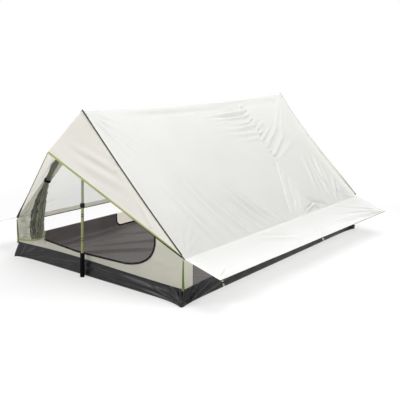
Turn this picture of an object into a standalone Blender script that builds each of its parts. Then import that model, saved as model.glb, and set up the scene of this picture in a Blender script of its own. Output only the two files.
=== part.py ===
"""Two-person A-frame camping tent held up by two walking poles.

The frame: origin at the centre of the floor's underside, +Y towards the rear,
+X towards the side away from the side door, +Z up. Lengths are in metres.
"""

import math

import bpy
import bmesh
import numpy as np
from mathutils import Matrix, Vector

# floor and bathtub walls
FLOOR_LENGTH = 2.26
FLOOR_WIDTH = 1.538
TUB_CORNER = 0.020
TUB_FOOT_INSET = 0.030
FRONT_FOOT_INSET = 0.010
TUB_CURVE_TOP = 0.040
FRONT_WALL_SET_BACK = 0.010
TUB_NEAR_HEIGHT = 0.102
TUB_FAR_HEIGHT = 0.128
TUB_FRONT_HEIGHT = 0.092
TUB_FRONT_CREST = 0.020
TUB_CREST_X = -0.25
TUB_CREST_SPREAD = 0.60

# canopy
FRONT_APEX_HEIGHT = 1.070
REAR_APEX_HEIGHT = 1.105
FRONT_APEX_LEAD = 0.025
REAR_APEX_LEAD = 0.036
EAVE_HALF_WIDTH = 0.768
EAVE_HEIGHT = 0.273
FRONT_EAVE_SET_BACK = 0.014
REAR_EAVE_OVERRUN = 0.050
FRONT_SEAM_SAG = 0.030
REAR_SEAM_SAG = 0.050
RIDGE_SAG = 0.027
FRONT_BEAK_REACH = 0.299
REAR_BEAK_REACH = 0.325
FRONT_BEAK_HEIGHT = 0.840
REAR_BEAK_HEIGHT = 0.865

# side skirts
SKIRT_FRONT_REACH = 0.253
SKIRT_REAR_REACH = 0.273
SKIRT_FRONT_DROP = 0.067
SKIRT_REAR_DROP = 0.082
SKIRT_REAR_PULL = 0.050
SKIRT_FOLD_CLEARANCE = 0.00115
SKIRT_HEM_THICKNESS = 0.003

# cloth, tapes and clearances
FABRIC = 0.0015
MESH_CLOTH = 0.0010
GAP = 0.0004
SEWN_GAP = 0.0005
PIPING_RADIUS = 0.0030
WEBBING_WIDTH = 0.012
WEBBING = 0.0016
RETURN_LENGTH = 0.090
REAR_RETURN_LENGTH = 0.045
MESH_SET_IN = 0.0025
MESH_TOP = EAVE_HEIGHT - 0.0005
MESH_LAP = 0.004

# front door, as x and z on the front wall
DOOR_BOTTOM_LEFT = (-0.462, 0.172)
DOOR_BOTTOM_BEND = (-0.133, 0.153)
DOOR_BOTTOM_RIGHT = (0.300, 0.160)
DOOR_CORNER = (0.560, 0.190)
DOOR_SIDE_LOW = (0.543, 0.367)
DOOR_SIDE_TOP = (0.035, 0.905)
DOOR_TOP = (0.000, 0.945)
DOOR_HINGE_TOP = (-0.040, 0.905)
DOOR_HINGE_BEND = (-0.462, 0.500)
ZIP_WIDTH = 0.008
ZIP_THICKNESS = 0.0015
SLIDER_LENGTH = 0.012
SLIDER_WIDTH = 0.009
SLIDER_THICKNESS = 0.0035
PULL_LENGTH = 0.026

# side door in the left bathtub wall
SIDE_DOOR_FRONT = -0.142
SIDE_DOOR_REAR = 0.580
SIDE_DOOR_CORNER = 0.055
SIDE_DOOR_FOOT = 0.016

# walking poles
POLE_FOOT_X = -0.054
POLE_FOOT_LEAD = 0.022
REAR_POLE_FOOT_LEAD = 0.045
POLE_FOOT_LIFT = 0.0008
POLE_HANDLE_RADIUS = 0.0090
POLE_MIDDLE_RADIUS = 0.0080
POLE_TIP_RADIUS = 0.0070
POLE_WALL = 0.0007
POLE_FIT = 0.0003
GRIP_LENGTH = 0.163
GRIP_RADIUS = 0.0160
LOWER_CLAMP_AT = 0.480
UPPER_CLAMP_AT = 0.800
CLAMP_HEIGHT = 0.030
CLAMP_WALL = 0.0036
LEVER_WALL = 0.0026
TUBE_OVERLAP = 0.100
TIP_LENGTH = 0.060
TIP_END_DROP = 0.022
WEBBING_DROP = 0.042
LEVER_PIVOT_AZIMUTH = -116.0
LEVER_SPAN = 150.0

# rolled door, loops and tabs
FLAP_TIE_HEIGHT = 0.585
FLAP_FOOT_HEIGHT = 0.176
FLAP_FOOT_SPREAD = 0.145
FLAP_MARGIN = 0.048
FLAP_DEPTH = 0.018
FLAP_WIDTH = 0.046
TIE_CLEARANCE = 0.0032
LOOP_LENGTH = 0.034
CORD_RADIUS = 0.0012
TAB_LENGTH = 0.050

HALF_LENGTH = FLOOR_LENGTH / 2
HALF_WIDTH = FLOOR_WIDTH / 2
FRONT_WALL_Y = -HALF_LENGTH + FRONT_WALL_SET_BACK + FABRIC / 2
FRONT_FACE_Y = FRONT_WALL_Y - FABRIC / 2
REAR_WALL_Y = HALF_LENGTH - FABRIC / 2
PIPE_GAP = PIPING_RADIUS + GAP
TUB_FRONT_XS = np.linspace(TUB_CORNER - HALF_WIDTH, HALF_WIDTH - TUB_CORNER, 13)
ROOF_XS = np.linspace(0.0, EAVE_HALF_WIDTH, 11)
TUB_SIDE_YS = np.linspace(FRONT_FACE_Y + TUB_CORNER, HALF_LENGTH - TUB_CORNER, 15)

COLOURS = {
    "canopy_fabric": ((0.83, 0.83, 0.82), 0.55, 0.0),
    "wall_fabric": ((0.56, 0.55, 0.47), 0.60, 0.0),
    "floor_fabric": ((0.055, 0.052, 0.055), 0.35, 0.0),
    "mesh_fabric": ((0.62, 0.63, 0.64), 0.80, 0.0),
    "seam_tape": ((0.030, 0.040, 0.022), 0.60, 0.0),
    "beak_binding": ((0.22, 0.30, 0.08), 0.60, 0.0),
    "strap_webbing": ((0.085, 0.120, 0.012), 0.75, 0.0),
    "black_webbing": ((0.015, 0.015, 0.016), 0.75, 0.0),
    "zip_tape": ((0.018, 0.018, 0.020), 0.60, 0.0),
    "zip_metal": ((0.20, 0.20, 0.21), 0.35, 0.8),
    "guy_cord": ((0.45, 0.60, 0.30), 0.70, 0.0),
    "black_plastic": ((0.017, 0.017, 0.018), 0.45, 0.0),
    "grip_foam": ((0.020, 0.020, 0.021), 0.85, 0.0),
    "handle_alloy": ((0.20, 0.22, 0.10), 0.35, 0.9),
    "shaft_alloy": ((0.32, 0.34, 0.26), 0.35, 0.9),
    "grommet_brass": ((0.42, 0.40, 0.36), 0.30, 1.0),
}


def make_materials():
    """Make one plain surface for each kind of stuff."""
    table = {}
    for name, (colour, roughness, metallic) in COLOURS.items():
        material = bpy.data.materials.new(name)
        material.use_nodes = True
        shader = material.node_tree.nodes["Principled BSDF"]
        shader.inputs["Base Color"].default_value = (*colour, 1.0)
        shader.inputs["Roughness"].default_value = roughness
        shader.inputs["Metallic"].default_value = metallic
        material.diffuse_color = (*colour, 1.0)
        table[name] = material
    return table


def add_piece(name, verts, faces, material, origin=(0.0, 0.0, 0.0), sharp=35.0):
    """Make one named piece whose own origin sits at the given point."""
    origin = Vector(origin)
    mesh = bpy.data.meshes.new(name)
    mesh.from_pydata([tuple(Vector(v) - origin) for v in verts], [], faces)
    work = bmesh.new()
    work.from_mesh(mesh)
    bmesh.ops.recalc_face_normals(work, faces=work.faces)
    work.to_mesh(mesh)
    work.free()
    mesh.shade_smooth()
    mesh.set_sharp_from_angle(angle=math.radians(sharp))
    mesh.materials.append(MATERIALS[material])
    piece = bpy.data.objects.new(name, mesh)
    piece.location = origin
    bpy.context.scene.collection.objects.link(piece)
    return piece


def grid_normals(grid):
    """Unit normals of a grid of points."""
    down = np.gradient(grid, axis=0)
    across = np.gradient(grid, axis=1)
    normal = np.cross(down, across)
    return normal / np.linalg.norm(normal, axis=2, keepdims=True)


def sheet(name, grid, thickness, material, origin=(0.0, 0.0, 0.0), mitre=False):
    """A closed thin solid on both sides of a grid; a mitred first row stays in its plane."""
    grid = np.asarray(grid, float)
    rows, columns, _ = grid.shape
    normal = grid_normals(grid)
    if mitre:
        flat = normal[0].copy()
        flat[:, 0] = 0.0
        flat /= np.sum(flat ** 2, axis=1, keepdims=True)
        normal[0] = flat
    half = np.asarray(thickness, float) / 2 * np.ones((rows, columns))
    offset = normal * half[:, :, None]
    verts = list((grid + offset).reshape(-1, 3)) + list((grid - offset).reshape(-1, 3))
    under = rows * columns
    faces = []
    for i in range(rows - 1):
        for j in range(columns - 1):
            a = i * columns + j
            for face in ((a, a + 1, a + columns + 1), (a, a + columns + 1, a + columns)):
                faces.append(face)
                faces.append(tuple(under + k for k in reversed(face)))
    rim = [(0, j) for j in range(columns)]
    rim += [(i, columns - 1) for i in range(1, rows)]
    rim += [(rows - 1, j) for j in range(columns - 2, -1, -1)]
    rim += [(i, 0) for i in range(rows - 2, 0, -1)]
    ids = [i * columns + j for i, j in rim]
    for a, b in zip(ids, ids[1:] + ids[:1]):
        faces.append((b, a, under + a, under + b))
    return add_piece(name, verts, faces, material, origin)


def plate_with_hole(name, outer, inner, thickness, material, normal=(0.0, 1.0, 0.0)):
    """A flat plate between two matching outlines, as thick as given along its normal."""
    count = len(outer)
    half = np.asarray(normal) * thickness / 2
    outer = np.asarray(outer, float)
    inner = np.asarray(inner, float)
    middle = (outer + inner) / 2
    rings = [outer - half, middle - half, inner - half, inner + half, middle + half, outer + half]
    verts = [v for ring in rings for v in ring]
    faces = []
    for level in range(len(rings)):
        after = (level + 1) % len(rings)
        for k in range(count):
            n = (k + 1) % count
            faces.append((level * count + k, level * count + n, after * count + n, after * count + k))
    return add_piece(name, verts, faces, material)


def sweep(name, path, section, material, up=(0.0, 1.0, 0.0), scale=None, closed=False,
          origin=(0.0, 0.0, 0.0), sharp=35.0):
    """Carry a section along a path; its first axis lies along up."""
    path = np.asarray(path, float)
    count = len(path)
    if closed:
        tangent = np.roll(path, -1, axis=0) - np.roll(path, 1, axis=0)
    else:
        tangent = np.gradient(path, axis=0)
    tangent /= np.linalg.norm(tangent, axis=1, keepdims=True)
    side = np.cross(tangent, np.asarray(up, float))
    side /= np.linalg.norm(side, axis=1, keepdims=True)
    lift = np.cross(side, tangent)
    sizes = np.ones((count, 2)) if scale is None else np.asarray(scale, float)
    verts = []
    for p, s, u, (a_size, b_size) in zip(path, side, lift, sizes):
        for a, b in section:
            verts.append(p + u * a * a_size + s * b * b_size)
    ring = len(section)
    faces = []
    for i in range(count if closed else count - 1):
        n = (i + 1) % count
        for k in range(ring):
            m = (k + 1) % ring
            faces.append((i * ring + k, i * ring + m, n * ring + m, n * ring + k))
    if not closed:
        faces.append(tuple(range(ring))[::-1])
        faces.append(tuple((count - 1) * ring + k for k in range(ring)))
    return add_piece(name, verts, faces, material, origin, sharp)


def round_section(radius, count=8):
    """A circle of points."""
    return [(radius * math.cos(2 * math.pi * k / count), radius * math.sin(2 * math.pi * k / count))
            for k in range(count)]


def flat_section(thickness, width):
    """A rectangle, thin along the first axis."""
    a = thickness / 2
    b = width / 2
    return [(-a, -b), (a, -b), (a, b), (-a, b)]


def lathe(name, profile, place, material, segments=24, ring=False, origin=(0.0, 0.0, 0.0)):
    """Turn a profile of radius and height round the local Z axis of a placing matrix."""
    verts = []
    rows = []
    for radius, height in profile:
        if radius == 0.0:
            rows.append([len(verts)])
            verts.append(place @ Vector((0.0, 0.0, height)))
            continue
        row = []
        for k in range(segments):
            angle = 2 * math.pi * k / segments
            row.append(len(verts))
            verts.append(place @ Vector((radius * math.cos(angle), radius * math.sin(angle), height)))
        rows.append(row)
    pairs = list(zip(rows, rows[1:]))
    if ring:
        pairs.append((rows[-1], rows[0]))
    faces = []
    for first, second in pairs:
        for k in range(segments):
            n = (k + 1) % segments
            if len(first) == 1:
                faces.append((first[0], second[n], second[k]))
            elif len(second) == 1:
                faces.append((first[k], first[n], second[0]))
            else:
                faces.append((first[k], first[n], second[n], second[k]))
    return add_piece(name, verts, faces, material, origin)


def boolean(target, cutter, operation):
    """Join or cut two solids and drop the second one."""
    modifier = target.modifiers.new(operation.lower(), "BOOLEAN")
    modifier.operation = operation
    modifier.solver = "EXACT"
    modifier.object = cutter
    bpy.context.view_layer.update()
    graph = bpy.context.evaluated_depsgraph_get()
    result = bpy.data.meshes.new_from_object(target.evaluated_get(graph))
    target.modifiers.clear()
    target.data = result
    bpy.data.objects.remove(cutter)
    result.shade_smooth()
    result.set_sharp_from_angle(angle=math.radians(35.0))
    return target


def box(name, low, high, material):
    """A plain block between two corners."""
    xs, ys, zs = zip(low, high)
    verts = [(x, y, z) for x in xs for y in ys for z in zs]
    faces = [(0, 1, 3, 2), (4, 6, 7, 5), (0, 4, 5, 1), (2, 3, 7, 6), (0, 2, 6, 4), (1, 5, 7, 3)]
    return add_piece(name, verts, faces, material)


def side_name(side):
    """Word for the right or the left side."""
    return "right" if side > 0 else "left"


def end_name(end):
    """Word for the front or the rear end."""
    return "front" if end < 0 else "rear"


def apex(end):
    """Top point of the front or the rear seam."""
    if end < 0:
        return np.array([0.0, -(HALF_LENGTH + FRONT_APEX_LEAD), FRONT_APEX_HEIGHT])
    return np.array([0.0, HALF_LENGTH + REAR_APEX_LEAD, REAR_APEX_HEIGHT])


def eave_corner(end):
    """Lower end of the front or the rear seam, on the right side."""
    y = -(HALF_LENGTH - FRONT_EAVE_SET_BACK) if end < 0 else HALF_LENGTH + REAR_EAVE_OVERRUN
    return np.array([EAVE_HALF_WIDTH, y, EAVE_HEIGHT])


def beak_tip(end):
    """Outer point of the beak."""
    if end < 0:
        return np.array([0.0, -(HALF_LENGTH + FRONT_BEAK_REACH), FRONT_BEAK_HEIGHT])
    return np.array([0.0, HALF_LENGTH + REAR_BEAK_REACH, REAR_BEAK_HEIGHT])


def seam(end, down):
    """Point of a seam between roof and beak: apex at 0, eave corner at 1."""
    sag = FRONT_SEAM_SAG if end < 0 else REAR_SEAM_SAG
    point = apex(end) * (1 - down) + eave_corner(end) * down
    point[2] -= 4 * sag * down * (1 - down)
    return point


def roof(down, along):
    """Point of the right half of the roof."""
    point = seam(-1, down) * (1 - along) + seam(1, down) * along
    point[2] -= 4 * RIDGE_SAG * along * (1 - along) * (1 - down)
    return point


def roof_height(x, y):
    """Height of the roof above a point of the floor."""
    down = min(abs(x) / EAVE_HALF_WIDTH, 1.0)
    front = seam(-1, down)[1]
    rear = seam(1, down)[1]
    return roof(down, min(max((y - front) / (rear - front), 0.0), 1.0))[2]


def mirrored(points, side):
    """The same points on the right or the left side."""
    points = np.array(points, float)
    points[..., 0] *= side
    return points


def build_canopy():
    """Roof panels, beaks, skirts and their piping."""
    for side in (1, -1):
        edge = PIPE_GAP / FLOOR_LENGTH
        rows = ROOF_XS / EAVE_HALF_WIDTH
        columns = np.linspace(edge, 1 - edge, 17)
        grid = [[roof(down, along) for along in columns] for down in rows]
        grid = np.array(grid)
        grid[0, :, 0] = GAP / 2
        sheet("roof_panel_" + side_name(side), mirrored(grid, side), FABRIC, "canopy_fabric", mitre=True)
        build_skirt(side)
    for end in (-1, 1):
        for side in (1, -1):
            build_beak(end, side)
        shares = np.linspace(-0.972, 0.972, 41)
        path = [mirrored(seam(end, abs(s)), -1 if s < 0 else 1) for s in shares]
        sweep(end_name(end) + "_seam_piping", path, round_section(PIPING_RADIUS), "seam_tape")
        tip = beak_tip(end)
        corner = eave_corner(end)
        shares = [-0.972, -0.5, -0.02, 0.0, 0.02, 0.5, 0.972]
        path = [mirrored(tip * (1 - abs(s)) + corner * abs(s), -1 if s < 0 else 1) for s in shares]
        sweep(end_name(end) + "_beak_binding", path, round_section(PIPING_RADIUS), "beak_binding")


def build_beak(end, side):
    """One half of the small awning over an end of the tent."""
    rows = np.linspace(0.0, 0.945, 11)
    grid = []
    for down in rows:
        inner = seam(end, down)
        outer = beak_tip(end) * (1 - down) + eave_corner(end) * down
        reach = np.linalg.norm(outer - inner)
        short = PIPE_GAP * 1.12 / reach
        shares = np.linspace(short, 1 - short, 5)
        grid.append([inner * (1 - s) + outer * s for s in shares])
    grid = np.array(grid)
    grid[0, :, 0] = GAP / 2
    name = end_name(end) + "_beak_" + side_name(side)
    sheet(name, mirrored(grid, side), FABRIC, "canopy_fabric", mitre=True)


def skirt_hem(along):
    """Point of the right skirt's outer edge, front at 0 and rear at 1."""
    front = eave_corner(-1) + np.array([SKIRT_FRONT_REACH, -0.004, -SKIRT_FRONT_DROP])
    rear = eave_corner(1) + np.array([SKIRT_REAR_REACH, -SKIRT_REAR_PULL, -SKIRT_REAR_DROP])
    return front * (1 - along) + rear * along


def build_skirt(side):
    """The flap that carries on outwards from the eave fold, with its folded hem."""
    shares = [0.0, 0.2, 0.4, 0.6, 0.8, 0.955, 0.965, 1.0]
    thick = [FABRIC] * 6 + [SKIRT_HEM_THICKNESS] * 2
    grid = []
    for share in shares:
        row = []
        for along in np.linspace(0.0, 1.0, 13):
            inner = eave_corner(-1) * (1 - along) + eave_corner(1) * along
            outer = skirt_hem(along)
            start = SKIRT_FOLD_CLEARANCE / np.linalg.norm(outer - inner)
            s = start + (1 - start) * share
            row.append(inner * (1 - s) + outer * s)
        grid.append(row)
    thickness = np.array(thick)[:, None] * np.ones((1, 13))
    fold = (side * EAVE_HALF_WIDTH, 0.0, EAVE_HEIGHT)
    sheet("side_skirt_" + side_name(side), mirrored(grid, side), thickness, "canopy_fabric", fold)


def tub_top(x, y):
    """Height of the bathtub's upper edge."""
    side = TUB_NEAR_HEIGHT + (TUB_FAR_HEIGHT - TUB_NEAR_HEIGHT) * (0.5 - x / FLOOR_WIDTH)
    crest = np.exp(-((TUB_FRONT_XS - TUB_CREST_X) / TUB_CREST_SPREAD) ** 2)
    front = float(np.interp(x, TUB_FRONT_XS, TUB_FRONT_HEIGHT + TUB_FRONT_CREST * crest))
    share = float(np.interp(y, TUB_SIDE_YS[:2], (0.0, 1.0)))
    return front * (1 - share) + side * share


def tub_outline(inset, front_inset):
    """Points round the bathtub from the front left, drawn in from the walls' outside."""
    low_x = -HALF_WIDTH + inset
    high_x = HALF_WIDTH - inset
    low_y = -HALF_LENGTH + front_inset
    high_y = HALF_LENGTH - inset
    radius = TUB_CORNER
    corners = [(low_x, low_y, 180), (high_x, low_y, 270), (high_x, high_y, 0), (low_x, high_y, 90)]
    steps = [len(TUB_FRONT_XS) - 1, len(TUB_SIDE_YS) - 1] * 2
    points = []
    for index, (x, y, start) in enumerate(corners):
        centre_x = x + radius * (1 if x < 0 else -1)
        centre_y = y + radius * (1 if y < 0 else -1)
        for k in range(5):
            angle = math.radians(start + 22.5 * k)
            points.append((centre_x + radius * math.cos(angle), centre_y + radius * math.sin(angle)))
        after = corners[(index + 1) % 4]
        next_x = after[0] + radius * (1 if after[0] < 0 else -1)
        next_y = after[1] + radius * (1 if after[1] < 0 else -1)
        angle = math.radians(after[2])
        target = (next_x + radius * math.cos(angle), next_y + radius * math.sin(angle))
        first = points[-1]
        for k in range(1, steps[index]):
            share = k / steps[index]
            points.append(tuple(a * (1 - share) + b * share for a, b in zip(first, target)))
    return points


def build_tub():
    """Groundsheet whose edges turn up into low walls, with the side door's cut-out."""
    levels = [(TUB_FOOT_INSET, FRONT_FOOT_INSET, 0.0), (0.012, 0.004, 0.007), (0.003, 0.003, 0.022)]
    levels += [(0.0, 0.006, TUB_CURVE_TOP), (0.0, FRONT_WALL_SET_BACK, 1.0)]
    rings = []
    for inner in (False, True):
        ordered = list(reversed(levels)) if inner else levels
        for inset, front_inset, height in ordered:
            add = FABRIC if inner else 0.0
            points = tub_outline(inset + add, front_inset + add)
            ring = []
            for x, y in points:
                z = tub_top(x, y) if height == 1.0 else height
                if inner and height < TUB_CURVE_TOP:
                    z += FABRIC * (1 - 0.9 * height / TUB_CURVE_TOP)
                ring.append((x, y, z))
            rings.append(ring)
    count = len(rings[0])
    verts = [v for ring in rings for v in ring]
    faces = []
    for level in range(len(rings) - 1):
        for k in range(count):
            n = (k + 1) % count
            faces.append((level * count + k, level * count + n, (level + 1) * count + n, (level + 1) * count + k))
    faces.append(tuple(reversed(range(count))))
    faces.append(tuple((len(rings) - 1) * count + k for k in range(count)))
    tub = add_piece("bathtub_floor", verts, faces, "floor_fabric")
    cutter = door_block("door_cut", 0.0, 0.20, 0.04)
    boolean(tub, cutter, "DIFFERENCE")


def door_curve(inset, top):
    """U-shaped outline of the side door, as y and z, drawn in by a margin."""
    front = SIDE_DOOR_FRONT + inset
    rear = SIDE_DOOR_REAR - inset
    foot = SIDE_DOOR_FOOT + inset
    radius = SIDE_DOOR_CORNER - inset
    points = [(front, top)]
    for k in range(7):
        angle = math.radians(180 + 15 * k)
        points.append((front + radius + radius * math.cos(angle), foot + radius + radius * math.sin(angle)))
    for k in range(7):
        angle = math.radians(270 + 15 * k)
        points.append((rear - radius + radius * math.cos(angle), foot + radius + radius * math.sin(angle)))
    points.append((rear, top))
    return points


def door_block(name, inset, top, depth):
    """A block with the side door's outline, across the left wall."""
    curve = door_curve(inset, top)
    count = len(curve)
    verts = []
    for x in (-HALF_WIDTH - depth, -HALF_WIDTH + depth):
        verts += [(x, y, z) for y, z in curve]
    faces = [tuple(range(count)), tuple(reversed(range(count, 2 * count)))]
    for k in range(count):
        n = (k + 1) % count
        faces.append((k, n, count + n, count + k))
    return add_piece(name, verts, faces, "zip_tape")


def build_side_door():
    """Light panel let into the left wall, its zip and the zip's slider."""
    top = TUB_FAR_HEIGHT
    panel_inset = ZIP_WIDTH + 2 * GAP
    plane = -HALF_WIDTH + FABRIC / 2
    curve = door_curve(panel_inset, top)
    left = curve[:8]
    right = list(reversed(curve[8:]))
    grid = []
    for a, b in zip(left, right):
        row = []
        for share in np.linspace(0.0, 1.0, 7):
            y = a[0] * (1 - share) + b[0] * share
            z = a[1] * (1 - share) + b[1] * share
            row.append((plane + foot_shift(z), y, z))
        grid.append(row)
    sheet("side_door_panel", grid, FABRIC, "wall_fabric")
    curve = door_curve(GAP + ZIP_WIDTH / 2, top)
    path = [(plane + foot_shift(z), y, z) for y, z in curve]
    sweep("side_door_zip", path, flat_section(ZIP_THICKNESS, ZIP_WIDTH), "zip_tape", up=(1.0, 0.0, 0.0))
    z = SIDE_DOOR_FOOT + GAP + ZIP_WIDTH / 2
    x = -HALF_WIDTH + foot_shift(z + SLIDER_WIDTH / 2) - GAP
    y = SIDE_DOOR_FRONT + SIDE_DOOR_CORNER + SLIDER_LENGTH / 2
    low = (x - SLIDER_THICKNESS, y - SLIDER_LENGTH / 2, z - SLIDER_WIDTH / 2)
    high = (x - GAP, y + SLIDER_LENGTH / 2, z + SLIDER_WIDTH / 2)
    slider = box("side_zip_slider", low, high, "zip_metal")
    tab = box("tab", (low[0] - 0.0012, low[1] - 0.022, z - 0.002), (low[0] + 0.0004, low[1] + 0.004, z + 0.002),
              "zip_metal")
    boolean(slider, tab, "UNION")


def foot_shift(z):
    """How far the bathtub's outer skin has drawn in at a height near its foot."""
    heights = [0.0, 0.007, 0.022, TUB_CURVE_TOP]
    insets = [TUB_FOOT_INSET, 0.012, 0.003, 0.0]
    return float(np.interp(z, heights, insets))


def bend(first, control, last, count):
    """Points of a smooth curve from the first to the last, without the first."""
    first, control, last = (np.asarray(p, float) for p in (first, control, last))
    points = []
    for k in range(1, count + 1):
        t = k / count
        points.append(first * (1 - t) ** 2 + control * 2 * t * (1 - t) + last * t ** 2)
    return points


def straight(first, last, count):
    """Evenly spaced points from the first to the last, without the first."""
    first = np.asarray(first, float)
    last = np.asarray(last, float)
    return [first + (last - first) * k / count for k in range(1, count + 1)]


def door_zip_line():
    """Bottom, right side and top of the front door, as x and z."""
    points = [np.asarray(DOOR_BOTTOM_LEFT, float)]
    points += straight(points[-1], DOOR_BOTTOM_BEND, 5)
    points += straight(points[-1], DOOR_BOTTOM_RIGHT, 6)
    points += bend(points[-1], DOOR_CORNER, DOOR_SIDE_LOW, 8)
    points += straight(points[-1], DOOR_SIDE_TOP, 10)
    points += bend(points[-1], DOOR_TOP, DOOR_HINGE_TOP, 4)
    return points


def door_hinge_line():
    """Sewn left edge of the front door from the top down, without its ends."""
    upper = np.asarray(DOOR_HINGE_TOP)
    knee = np.asarray(DOOR_HINGE_BEND)
    foot = np.asarray(DOOR_BOTTOM_LEFT)
    above = knee + (upper - knee) * 0.06
    below = knee + (foot - knee) * 0.10
    points = straight(upper, above, 7)
    points += bend(above, knee, below, 3)
    points += straight(below, foot, 4)
    return points[:-1]


def reach_outline(outline, centre, angle):
    """Where a ray from the centre meets a closed outline."""
    direction = np.array([math.cos(angle), math.sin(angle)])
    best = None
    for a, b in zip(outline, outline[1:] + outline[:1]):
        edge = b - a
        cross = direction[0] * edge[1] - direction[1] * edge[0]
        if abs(cross) < 1e-12:
            continue
        gap = a - centre
        distance = (gap[0] * edge[1] - gap[1] * edge[0]) / cross
        share = (gap[0] * direction[1] - gap[1] * direction[0]) / cross
        if distance > 0 and -1e-9 <= share <= 1 + 1e-9:
            best = distance if best is None else max(best, distance)
    return centre + direction * best


def matched(outer, inner, centre, extra):
    """The two outlines with one point each at every shared angle."""
    centre = np.asarray(centre, float)
    angles = [2 * math.pi * k / extra for k in range(extra)] if extra else []
    for point in outer + inner:
        offset = point - centre
        angles.append(math.atan2(offset[1], offset[0]) % (2 * math.pi))
    chosen = []
    for angle in sorted(angles):
        if not chosen or angle - chosen[-1] > 0.004:
            chosen.append(angle)
    first = [reach_outline(outer, centre, a) for a in chosen]
    second = [reach_outline(inner, centre, a) for a in chosen]
    return first, second


def wall_outline(y, half_width):
    """Outline of an end wall under the roof, as x and z, from the lower left."""
    points = []
    for x in [-half_width, *TUB_FRONT_XS, half_width]:
        points.append(np.array([x, tub_top(x, y) + SEWN_GAP]))
    shoulder = EAVE_HEIGHT - 0.011
    points.append(np.array([half_width, shoulder]))
    slope = math.cos(math.radians(46.0))
    close = (FABRIC / 2 + 2 * GAP) / slope
    wide = (PIPE_GAP + FABRIC) / slope if y < 0 else close
    xs = [half_width - 0.014, *ROOF_XS[-2:0:-1], 0.004]
    for x in xs:
        inset = float(np.interp(x, (0.55, 0.62), (close, wide)))
        points.append(np.array([x, roof_height(x, y) - inset]))
    points += [np.array([-x, z]) for x, z in points[:-len(xs) - 1:-1]]
    points.append(np.array([-half_width, shoulder]))
    return points


def add_returns(wall, y_from, y_to):
    """Join the strips of wall cloth that run round the two corners."""
    for side in (1, -1):
        far = max(y_from, y_to) if y_from > 0 else min(y_from, y_to)
        near = y_to if abs(y_to) < abs(y_from) else y_from
        low = max(tub_top(side * HALF_WIDTH, near), tub_top(side * HALF_WIDTH, far)) + SEWN_GAP + 0.001
        xs = sorted((side * (HALF_WIDTH - 2 * FABRIC), side * (HALF_WIDTH - FABRIC)))
        strip = box("strip", (xs[0], min(near, far), low), (xs[1], max(near, far), EAVE_HEIGHT - 0.013),
                    "wall_fabric")
        boolean(wall, strip, "UNION")
    return wall


def build_inner_walls():
    """Front wall with its door opening, rear wall and the two mesh walls."""
    half_width = HALF_WIDTH - FABRIC - 0.0003
    zip_line = door_zip_line()
    hole = zip_line + door_hinge_line()
    outer, inner = matched(wall_outline(FRONT_WALL_Y, half_width), hole, (0.03, 0.42), 24)
    outer = [(x, FRONT_WALL_Y, z) for x, z in outer]
    inner = [(x, FRONT_WALL_Y, z) for x, z in inner]
    wall = plate_with_hole("front_wall", outer, inner, FABRIC, "wall_fabric")
    add_returns(wall, FRONT_WALL_Y + 0.0002, -HALF_LENGTH + RETURN_LENGTH)
    upper = sorted(wall_outline(REAR_WALL_Y, half_width)[15:], key=lambda point: point[0])
    rows = []
    for x, top in upper:
        z = tub_top(x, REAR_WALL_Y) + SEWN_GAP
        rows.append([(x, REAR_WALL_Y, z + (top - z) * share) for share in np.linspace(0, 1, 7)])
    wall = sheet("rear_wall", rows, FABRIC, "wall_fabric")
    add_returns(wall, REAR_WALL_Y - 0.0002, HALF_LENGTH - REAR_RETURN_LENGTH)
    for side in (1, -1):
        x = side * (HALF_WIDTH - MESH_SET_IN)
        grid = []
        first = -HALF_LENGTH + RETURN_LENGTH + GAP
        for y in [first, *TUB_SIDE_YS[1:-1], HALF_LENGTH - REAR_RETURN_LENGTH - GAP]:
            low = tub_top(x, y) - MESH_LAP
            grid.append([(x, y, low + (MESH_TOP - low) * share) for share in np.linspace(0, 1, 4)])
        sheet("mesh_wall_" + side_name(side), grid, MESH_CLOTH, "mesh_fabric")


def build_front_door():
    """Zip round the front door, its slider and pull, and the door tied to the left."""
    y = FRONT_FACE_Y - GAP - ZIP_THICKNESS / 2
    centre = np.array([0.03, 0.42])
    path = []
    for point in door_zip_line():
        outward = (point - centre) / np.linalg.norm(point - centre)
        x, z = point + outward * ZIP_WIDTH * 0.55
        path.append((x, y, z))
    sweep("front_door_zip", path, flat_section(ZIP_THICKNESS, ZIP_WIDTH), "zip_tape")
    x, z = (np.asarray(path[0]) * 0.8 + np.asarray(path[1]) * 0.2)[[0, 2]]
    back = y - ZIP_THICKNESS / 2 - GAP
    low = (x - SLIDER_LENGTH / 2, back - SLIDER_THICKNESS, z - SLIDER_WIDTH / 2)
    high = (x + SLIDER_LENGTH / 2, back, z + SLIDER_WIDTH / 2)
    box("front_zip_slider", low, high, "zip_metal")
    top = z + 0.001
    face = back - SLIDER_THICKNESS - GAP
    path = [(x, face - 0.0007, top - PULL_LENGTH * k / 4) for k in range(5)]
    widths = [(1.0, 0.8), (1.0, 0.8), (1.0, 0.55), (1.0, 1.0), (1.0, 1.0)]
    sweep("front_zip_pull", path, flat_section(0.0014, 0.006), "zip_metal", scale=widths,
          origin=(x, face - 0.0007, top))
    build_door_flap()


def flap_section(lobes=5, count=30):
    """Outline of the gathered cloth: a flattened ring with folds."""
    points = []
    for k in range(count):
        angle = 2 * math.pi * k / count
        radius = 1.0 + 0.17 * math.cos(lobes * angle + 0.6)
        points.append((radius * math.cos(angle), radius * math.sin(angle)))
    return points


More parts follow.
